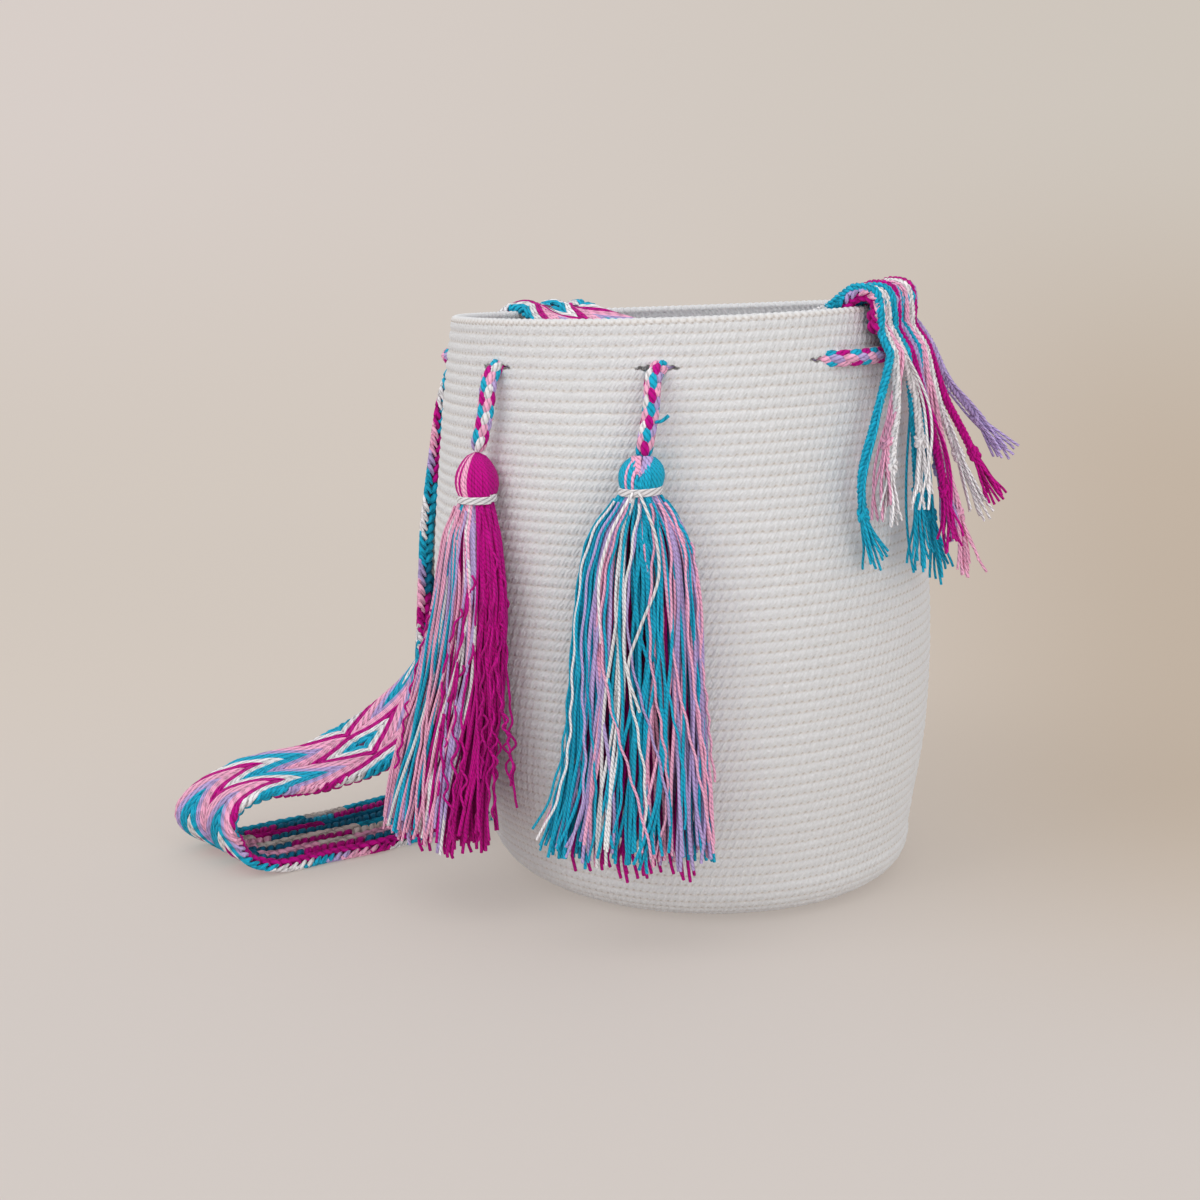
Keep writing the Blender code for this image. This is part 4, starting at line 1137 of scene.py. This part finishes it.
def make_reverse(band, material):
    """The other face: rows of short lumps in runs of one tint."""
    yarns = Yarns()
    rng = np.random.default_rng(41)
    pitch = (STRAP_WIDTH - 0.002) / REVERSE_ROWS
    share = np.linspace(0.0, 1.0, 6)
    hump = np.sin(share * math.pi)
    for row in range(REVERSE_ROWS):
        slant = 1 if row % 2 else -1
        across = (row - 0.5 * (REVERSE_ROWS - 1)) * pitch + slant * (share - 0.5) * pitch * 0.75
        left_over = 0
        for lump in range(int(band.length / REVERSE_PITCH)):
            if not left_over:
                tint = REVERSE_TINTS[int(rng.random() * len(REVERSE_TINTS))]
                left_over = int(rng.uniform(3, 9))
            left_over -= 1
            at = np.clip((lump + 0.5 * (row % 2) + share * 1.35) * REVERSE_PITCH, 0.0, band.length)
            line = band.place(at, across, -0.0006 - 0.0017 * hump ** 0.7)
            yarns.add(line, 0.0020 * (0.35 + 0.65 * hump), tint)
    return yarns.piece("strap_reverse", 5, material, PLAIT_SLOT)


def make_edges(band, material):
    """The lumps along both edges, in the tints of the chevrons that end there."""
    yarns = Yarns()
    half = 0.5 * STRAP_WIDTH
    share = np.linspace(0.0, 1.0, 7)
    turn = (share - 0.5) * math.pi
    thickness = 0.00125 * (0.5 + 0.5 * np.sin(share * math.pi))
    for side in (-1, 1):
        across = side * (half - 0.0022 + 0.0016 * np.cos(turn))
        for lump in range(int(band.length / EDGE_PITCH)):
            start = lump * EDGE_PITCH
            at = np.clip(start + share * EDGE_PITCH * 1.5, 0.0, band.length)
            fold = np.abs(((start + PATTERN_SHIFT) / TURN_PITCH) % 1.0 - 0.5) * TURN_PITCH
            level = int((fold + ARM_RISE * zigzag(side * (half - 0.001))) / STRAND_PITCH)
            line = band.place(at, across, -0.0014 * np.sin(turn))
            yarns.add(line, thickness, CHEVRON[level % len(CHEVRON)])
    return yarns.piece("strap_edges", 5, material, PLAIT_SLOT)


def face_out(mesh):
    """Turn a closed mesh's faces outwards."""
    bm = bmesh.new()
    bm.from_mesh(mesh)
    bmesh.ops.recalc_face_normals(bm, faces=bm.faces)
    if bm.calc_volume(signed=True) < 0:
        bmesh.ops.reverse_faces(bm, faces=bm.faces)
    bm.to_mesh(mesh)
    bm.free()


# Fringe

RIGHT_ROPES = ((-4, 8, 98), (-5, 14, 80), (-7, 10, 78), (-4, 20, 74), (-2, 14, 102), (-3, 28, 92),
               (-1, 23, 90), (0, 14, 110), (-2, 27, 106), (2, 30, 84), (1, 36, 76), (3, 40, 58))
RIGHT_BOWS = (-11.0, -4.0, -5.0, 1.0, -1.0, 2.0, 1.0, -2.0, 3.0, 2.0, 3.5, 4.5)
LEFT_ROPES = ((-13, 4, 92), (-10, 5, 98), (-8, 4, 88), (-5, 5, 99), (-3, 4, 94), (-1, 5, 101),
              (1, 4, 96), (3, 5, 90), (5, 4, 98), (8, 5, 93), (10, 4, 100), (13, 5, 91))
ROPE_TINTS = (TEAL, WHITE, PINK, WHITE, TEAL, MAGENTA, LAVENDER, TEAL, PINK, WHITE, MAGENTA, LAVENDER)
SLOT_OF_TINT = {TEAL: "teal", WHITE: "white", PINK: "pink", MAGENTA: "magenta", LAVENDER: "lavender"}
CORD_SHOULDER = 0.0077
LOOSE_ROPES = (2, 8)
OVER_START = 0.058
OVER_END = 0.003
OVER_SLANT = 0.011
ROPE_SHOULDER_DROP = 0.0100
ROPE_DIAMETER = 0.0039
ROPE_GAP = 0.0004
# Plies of a rope: how many, their reach from its middle, their radius and the length of a turn
LAID_PLIES = (3, 0.00112, 0.00098, 0.0064)
LOOSE_PLIES = (6, 0.00135, 0.00070, 0.075)
FRAY_RADIUS = 0.00060
FRAYS = 9
FREE_LENGTH = 0.090


def rope_path(azimuth, offset, depth, tip, shoulder, bow):
    """Middle line of one rope, out of the band's face and over the drawstring below it."""
    swing, stand_off, length = tip[0], tip[1] / 1000, tip[2] / 1000
    start_height = RIM_HEIGHT - depth
    own_azimuth = azimuth + math.degrees(offset / (float(body_radius(start_height)) + STRAP_OUT))
    first = wall_point(azimuth, STRAP_OUT, start_height) + along(azimuth) * offset - UP * TOUCH_GAP
    apart = first - wall_point(own_azimuth, STRAP_OUT, start_height)
    face = outward(azimuth)
    path = [first + UP * rise + face * out
            for rise, out in ((0.0100, -0.0012), (0.0060, 0.0022), (0.0010, 0.0030))]
    for drop, reach, fade in ((0.0050, 0.74, 0.9), (0.0085, 0.98, 0.8)):
        out = STRAP_OUT + shoulder * reach + 0.0010
        path.append(wall_point(own_azimuth, out, start_height - drop) + apart * fade)
    for share, fade in ((0.3, 0.4), (0.52, 0.1), (0.70, 0.0), (0.82, 0.0), (1.0, 0.0)):
        ease = share ** 1.3
        out = STRAP_OUT + shoulder * (1 - ease) + stand_off * ease
        drop = ROPE_SHOULDER_DROP + (length - ROPE_SHOULDER_DROP) * share
        gather = 0.35 * (azimuth - own_azimuth) * math.sin(math.pi * share ** 0.7)
        swung = own_azimuth + gather + swing * ease + bow * math.sin(math.pi * share)
        path.append(wall_point(swung, out, start_height - drop) + apart * fade)
    return np.array(path)


def make_rope(number, path, tint, seed, knot_share, loose, material):
    """Plies laid round each other, a knot, and the loose yarns below it."""
    rng = np.random.default_rng(seed)
    yarns = Yarns()
    line = smooth_line(path, 0.0009)
    run = run_along(line)
    sides, ups = carried_frames(line, np.array((1.0, 0.3, 0.0)))
    knot_at = run[-1] - (1.0 - knot_share) * FREE_LENGTH
    body = run <= knot_at + 0.001
    plies, ply_reach, ply_radius, turn = LOOSE_PLIES if loose else LAID_PLIES
    for ply in range(plies):
        angle = 2 * math.pi * run[body] / turn + 2 * math.pi * ply / plies
        wander = 1.0 + (0.45 * np.sin(run[body] * rng.uniform(90, 160) + ply) if loose else 0.0)
        reach = ply_reach * wander
        offset = beside(sides[body], np.cos(angle) * reach, ups[body], np.sin(angle) * reach)
        yarns.add(line[body] + offset, ply_radius, tint)
    knot = int(np.argmin(np.abs(run - knot_at)))
    down = unit(line[min(knot + 3, len(line) - 1)] - line[knot - 3])
    t = np.linspace(0.0, 2 * math.pi, 26)
    for lower, start in ((0.0, 0.6), (0.0018, 1.8)):
        loop = beside(sides[knot], 0.0019 * np.cos(t + start), ups[knot], 0.0018 * np.sin(t + start))
        yarns.add(line[knot] + loop + down * (0.0013 * np.sin(2 * t + start) + lower)[:, None], 0.00100, tint)
    share = np.linspace(0.0, 1.0, len(line) - knot)
    for yarn in range(FRAYS):
        angle = 2 * math.pi * yarn / FRAYS + rng.uniform(0, 1)
        flare = 0.0010 + rng.uniform(0.0015, 0.0075) * share ** 1.4
        wave = rng.uniform(0.0006, 0.0016) * np.sin(share * rng.uniform(5, 13) + rng.uniform(0, 6)) * share
        offset = beside(sides[knot:], np.cos(angle) * flare + wave, ups[knot:], np.sin(angle) * flare)
        keep = share <= rng.uniform(0.72, 1.0)
        yarns.add((line[knot:] + offset)[keep], FRAY_RADIUS, tint)
    for yarn in range(2):
        begin = int(len(line) * rng.uniform(0.45, 0.6))
        share = np.linspace(0.0, 1.0, len(line) - begin)
        sideways = rng.normal(0.0, 0.0035) * np.sin(math.pi * share * rng.uniform(0.6, 1.4))
        outwards = 0.0015 * np.sin(share * rng.uniform(3, 8)) * share
        offset = beside(sides[begin:], sideways, ups[begin:], outwards)
        yarns.add(line[begin:] + offset, FRAY_RADIUS, tint)
    slot = SLOT_OF_TINT[tint] + "_yarn"
    return yarns.piece("rope_" + number, 5, material, slot, ["fringe_" + number])


def over_the_rim(band, offset):
    """Start of a rope's strands: out of the band inside the mouth and slantwise over the rim."""
    at = np.linspace(OVER_START, OVER_END, 9)
    share = (at - OVER_END) / (OVER_START - OVER_END)
    edge = 0.5 * STRAP_WIDTH - 0.0015
    across = np.clip(offset - OVER_SLANT * share, -edge, edge)
    return band.place(at, across, np.where(share > 0.95, -0.0012, 0.0020))


def make_fringe(side, azimuth, depth, ropes, shoulder, material, band=None):
    """The ropes that one end of the strap runs out into, from inside the mouth if a band is given."""
    rng = np.random.default_rng(int(azimuth))
    pitch = (STRAP_WIDTH - ROPE_DIAMETER - 2 * ROPE_GAP) / (len(ropes) - 1)
    made = []
    for index, tip in enumerate(ropes):
        offset = (index - 0.5 * (len(ropes) - 1)) * pitch
        bow = rng.uniform(-1.8, 1.8)
        if band is None:
            path = rope_path(azimuth, offset, depth, tip, shoulder, bow)
        else:
            start = over_the_rim(band, offset)
            offset = -0.5 * STRAP_WIDTH + (offset + 0.5 * STRAP_WIDTH) * GATHER
            path = rope_path(azimuth, offset, depth, tip, shoulder, RIGHT_BOWS[index])
            path = np.concatenate((start, path[2:]))
        made.append(make_rope("%s_%02d" % (side, index + 1), path, ROPE_TINTS[index], 100 + index,
                              rng.uniform(0.60, 0.74), index in LOOSE_ROPES, material))
    return made


# Crocheted body

def outer_place(down):
    """Radius and even height of the outside at distances down from the rim along it."""
    wall_length = RIM_HEIGHT - CORNER_RADIUS
    height = RIM_HEIGHT - np.minimum(down, wall_length)
    angle = np.clip((down - wall_length) / CORNER_RADIUS, 0.0, 0.5 * math.pi)
    radius = body_radius(height)
    bend = down > wall_length
    radius = np.where(bend, FOOT_RADIUS - CORNER_RADIUS + CORNER_RADIUS * np.cos(angle), radius)
    height = np.where(bend, CORNER_RADIUS - CORNER_RADIUS * np.sin(angle), height)
    out_radial = np.where(bend, np.cos(angle), 1.0)
    out_up = np.where(bend, -np.sin(angle), 0.0)
    return radius, height, out_radial, out_up


def row_relief(row, stitch):
    """Relief of rows and stitches: row counts down from the rim, stitch counts round."""
    in_row = row % 1.0
    whole = np.floor(row)
    ridge = np.sin(math.pi * in_row) ** 0.7
    place = (stitch + whole * ROW_SHIFT + in_row * 0.35) % STITCHES
    phase = place % 1.0
    gap = np.abs(np.cos(math.pi * phase)) ** 3
    leg = np.abs(np.cos(2 * math.pi * phase)) * 0.35
    plump = 0.00026 * (uneven(np.floor(place), whole) - 0.5)
    return ROW_DEPTH * (ridge - 0.62) - (STITCH_DEPTH * (gap + leg) - plump) * ridge


def row_scallop(row, stitch):
    """Sideways wander of the line between two rows, a small arc over each stitch."""
    nearest = np.floor(row + 0.5)
    closeness = 1.0 - 2.0 * np.abs(row - nearest)
    place = (stitch + nearest * ROW_SHIFT) % STITCHES
    arcs = np.cos(2 * math.pi * place) + 0.9 * (uneven(np.floor(place), nearest) - 0.5)
    return SCALLOP * arcs * closeness


def soft_dents(azimuth, height):
    """Slow unevenness of the soft wall."""
    a = np.radians(azimuth)
    h = height / RIM_HEIGHT
    lumps = (np.sin(3 * a + 5 * h) + 0.7 * np.sin(5 * a - 7 * h + 1.3) + 0.6 * np.sin(8 * a + 9 * h + 0.4))
    return 0.0004 * lumps * np.sin(math.pi * np.clip(h, 0, 1)) ** 0.5


def slit_place(azimuth, eyelet):
    """Place along an eyelet's slit, from -1 at one end to 1 at the other."""
    off = (azimuth - eyelet + 180.0) % 360.0 - 180.0
    return np.radians(off) * float(body_radius(RIM_HEIGHT - EYELET_DEPTH)) / EYELET_HALF_WIDTH


def eyelet_push(azimuth, row):
    """How far the rows beside each eyelet are pushed up or down to open it, away from its line."""
    push = EYELET_RISE if row < SLIT_ROW else -EYELET_DROP
    lift = np.zeros(len(azimuth))
    for eyelet in EYELET_AZIMUTHS:
        lens = np.sqrt(np.clip(1.0 - slit_place(azimuth, eyelet) ** 2, 0.0, 1.0)) ** 1.2
        lift += push * lens * np.exp(-np.abs(row - SLIT_ROW) / 1.5)
    return lift


def ring_faces(top, bottom, stitch, low_row, high_row):
    """Quads between two rings of points, and their UV corners."""
    quads = np.stack((top, bottom, np.roll(bottom, -1), np.roll(top, -1)), axis=1)
    sides = (stitch, stitch, stitch + stitch[1], stitch + stitch[1])
    rows = (low_row, high_row, high_row, low_row)
    corners = [np.stack((side, np.full(len(stitch), row)), 1) for side, row in zip(sides, rows)]
    return quads, np.stack(corners, axis=1)


def body_section(name, first_row, last_row, with_eyelets):
    """A closed ring of the crocheted wall between two row boundaries, outside and inside."""
    columns = STITCHES * COLUMNS_PER_STITCH
    azimuth = 360.0 * np.arange(columns) / columns
    stitch = np.arange(columns) / COLUMNS_PER_STITCH
    height_rows = last_row - first_row
    rows_out = np.linspace(first_row, last_row, int(round(height_rows * RINGS_PER_ROW)) + 1)
    rows_in = np.linspace(last_row, first_row, int(round(height_rows * INNER_RINGS_PER_ROW)) + 1)
    rows = np.concatenate((rows_out, rows_in))
    rings = []
    for number, row in enumerate(rows):
        radius, height, out_radial, out_up = outer_place(np.array(FIRST_ROW + row * ROW_PITCH))
        dents = soft_dents(azimuth, float(height))
        if number < len(rows_out):
            relief = row_relief(row, stitch) + dents
            rise = relief * out_up + row_scallop(row, stitch) * out_radial
        else:
            ribs = 0.0003 * math.sin(math.pi * (row % 1.0))
            lumps = 0.0004 * np.cos(2 * math.pi * (stitch + 0.35 * row))
            relief = ribs + lumps + dents - INNER_THICKNESS
            rise = -INNER_THICKNESS * out_up
        point = body_point(azimuth, radius + relief * out_radial, height)
        if with_eyelets:
            rise = rise + eyelet_push(azimuth, row - (1e-6 if abs(row - SLIT_ROW) < 1e-4 else 0))
        point[:, 2] += rise
        rings.append(point)
    index = np.arange(len(rings) * columns).reshape(-1, columns)
    points, lower = list(rings), {}
    if with_eyelets:
        opened = np.any([np.abs(slit_place(azimuth, eyelet)) < 1.0 for eyelet in EYELET_AZIMUTHS], axis=0)
        shift = eyelet_push(azimuth, SLIT_ROW + 1e-6) - eyelet_push(azimuth, SLIT_ROW - 1e-6)
        for ring in np.nonzero(np.abs(rows - SLIT_ROW) < 1e-4)[0]:
            lower[ring] = index[ring].copy()
            lower[ring][opened] = sum(map(len, points)) + np.arange(opened.sum())
            points.append((rings[ring] + shift[:, None] * UP)[opened])
    made = []
    inner = len(rows_out)
    for ring in range(len(rings)):
        following = (ring + 1) % len(rings)
        top, bottom = index[ring], index[following]
        if ring < inner - 1:
            top = lower.get(ring, top)
        elif inner <= ring < len(rings) - 1:
            bottom = lower.get(following, bottom)
        made.append(ring_faces(top, bottom, stitch, rows[ring], rows[following]))
    if lower:
        outside, inside = sorted(lower)
        touched = lower[outside] != index[outside]
        use = touched | np.roll(touched, -1)
        flat = np.repeat(np.stack((stitch, np.full(columns, SLIT_ROW)), 1)[use][:, None, :], 4, axis=1)
        for level, order in ((index, [0, 3, 2, 1]), (lower, [0, 1, 2, 3])):
            lips, _ = ring_faces(level[outside], level[inside], stitch, SLIT_ROW, SLIT_ROW)
            made.append((lips[use][:, order], flat))
    quads, uvs = (np.concatenate(parts) for parts in zip(*made))
    creases = [index[0], index[inner - 1], index[inner], index[-1]]
    return quad_mesh(name, np.concatenate(points), quads, uvs, creases)


def ring_piece(name, rings, rows, material):
    """A closed crocheted piece from rings of points and the row at each, with one more row at the close."""
    columns = len(rings[0])
    stitch = STITCHES * np.arange(columns) / columns
    index = np.arange(len(rings) * columns).reshape(-1, columns)
    made = [ring_faces(top, bottom, stitch, low_row, high_row)
            for top, bottom, low_row, high_row in zip(index, np.roll(index, -1, 0), rows, rows[1:])]
    quads, uvs = (np.concatenate(parts) for parts in zip(*made))
    mesh = quad_mesh(name, np.array(rings), quads, uvs)
    face_out(mesh)
    finish_piece(name, mesh, material=material)


def make_lip(material):
    """The rounded last row along the rim."""
    columns = STITCHES * 6
    azimuth = 360.0 * np.arange(columns) / columns
    stitch = STITCHES * np.arange(columns) / columns
    plump = 1.0 - 0.16 * np.abs(np.cos(math.pi * (stitch % 1.0))) ** 3
    height = RIM_HEIGHT - FIRST_ROW
    rings = []
    for corner in range(LIP_CORNERS):
        turn = 2 * math.pi * corner / LIP_CORNERS
        out = -0.5 * WALL + (0.5 * WALL + 0.0004) * math.cos(turn) * plump
        rings.append(body_point(azimuth, body_radius(height) + out, height)
                     + (0.0022 * math.sin(turn) * plump)[:, None] * UP)
    ring_piece("bag_lip", rings, [corner / LIP_CORNERS for corner in range(LIP_CORNERS + 1)], material)


def make_base(material):
    """The flat round base, in rows from its centre, seen from below and from inside."""
    azimuth = 360.0 * np.arange(BASE_COLUMNS) / BASE_COLUMNS
    foot = FOOT_RADIUS - CORNER_RADIUS + 0.0045
    radii = np.linspace(foot, 0.0010, int(foot / ROW_PITCH) * 3 + 1)
    rings, rows = [], []
    for number, radius in enumerate(np.concatenate((radii, radii[::-1]))):
        row = (foot - radius) / ROW_PITCH
        ridge = np.sin(math.pi * (row % 1.0)) ** 0.75
        height = 0.0007 - 0.0006 * ridge if number < len(radii) else BASE_THICKNESS + 0.0005 * ridge
        point = body_point(azimuth, radius, 0.0)
        point[:, 2] = height
        rings.append(point)
        rows.append(row)
    ring_piece("bag_base", rings, rows + rows[:1], material)


def make_body(material):
    """The crocheted bag in stacked rings of rows, its lip and its flat base."""
    wall_rows = (RIM_HEIGHT - CORNER_RADIUS + 0.5 * math.pi * CORNER_RADIUS - FIRST_ROW) / ROW_PITCH
    cuts = (0.0, 8.0, 24.0, 40.0, float(math.floor(wall_rows)))
    for name, low, high in zip(("bag_rim", "bag_wall_upper", "bag_wall_lower", "bag_foot"), cuts, cuts[1:]):
        rim = name == "bag_rim"
        mesh = body_section(name, low, high, rim)
        finish_piece(name, mesh, ["bag_body"] if rim else (), material)
    make_lip(material)
    make_base(material)


def main():
    right, away = make_camera()
    make_floor(right, away)
    make_studio(right, away)
    braid = yarn_finish("braid_yarn", turns=300.0, depth=0.00030)
    tassel_yarn = yarn_finish("tassel_yarn", turns=430.0, groove_shade=0.40)
    rope_yarn = yarn_finish("rope_yarn", turns=330.0)
    plait = yarn_finish("plait_yarn", turns=170.0, depth=0.00045, groove_shade=0.42)
    tie_yarn = yarn_finish("tie_yarn", turns=260.0)
    cord, route = make_drawstring(braid)
    make_tassels(tassel_yarn, tie_yarn)
    make_body(crochet_finish())
    band = Band(strap_stations(), 0.001)
    fringe = make_fringe("right", RIGHT_END_AZIMUTH, RIGHT_END_DEPTH, RIGHT_ROPES, CORD_SHOULDER,
                         rope_yarn, band)
    make_fringe("left", LEFT_END_AZIMUTH, LEFT_END_DEPTH, LEFT_ROPES, 0.0, rope_yarn)
    # Painted shade: the core is near black to dark purple where it shows between the strands.
    core = Finish("strap_core", roughness=0.95)
    core.colour(core.blend(core.noise(core.place(), 300.0), (0.05, 0.02, 0.05), (0.22, 0.10, 0.18)))
    strap = make_core(band, core.material)
    faces = [make_chevrons(band, plait), make_reverse(band, plait), make_edges(band, plait)]


main()
bpy.context.scene.view_settings.view_transform = "Standard"
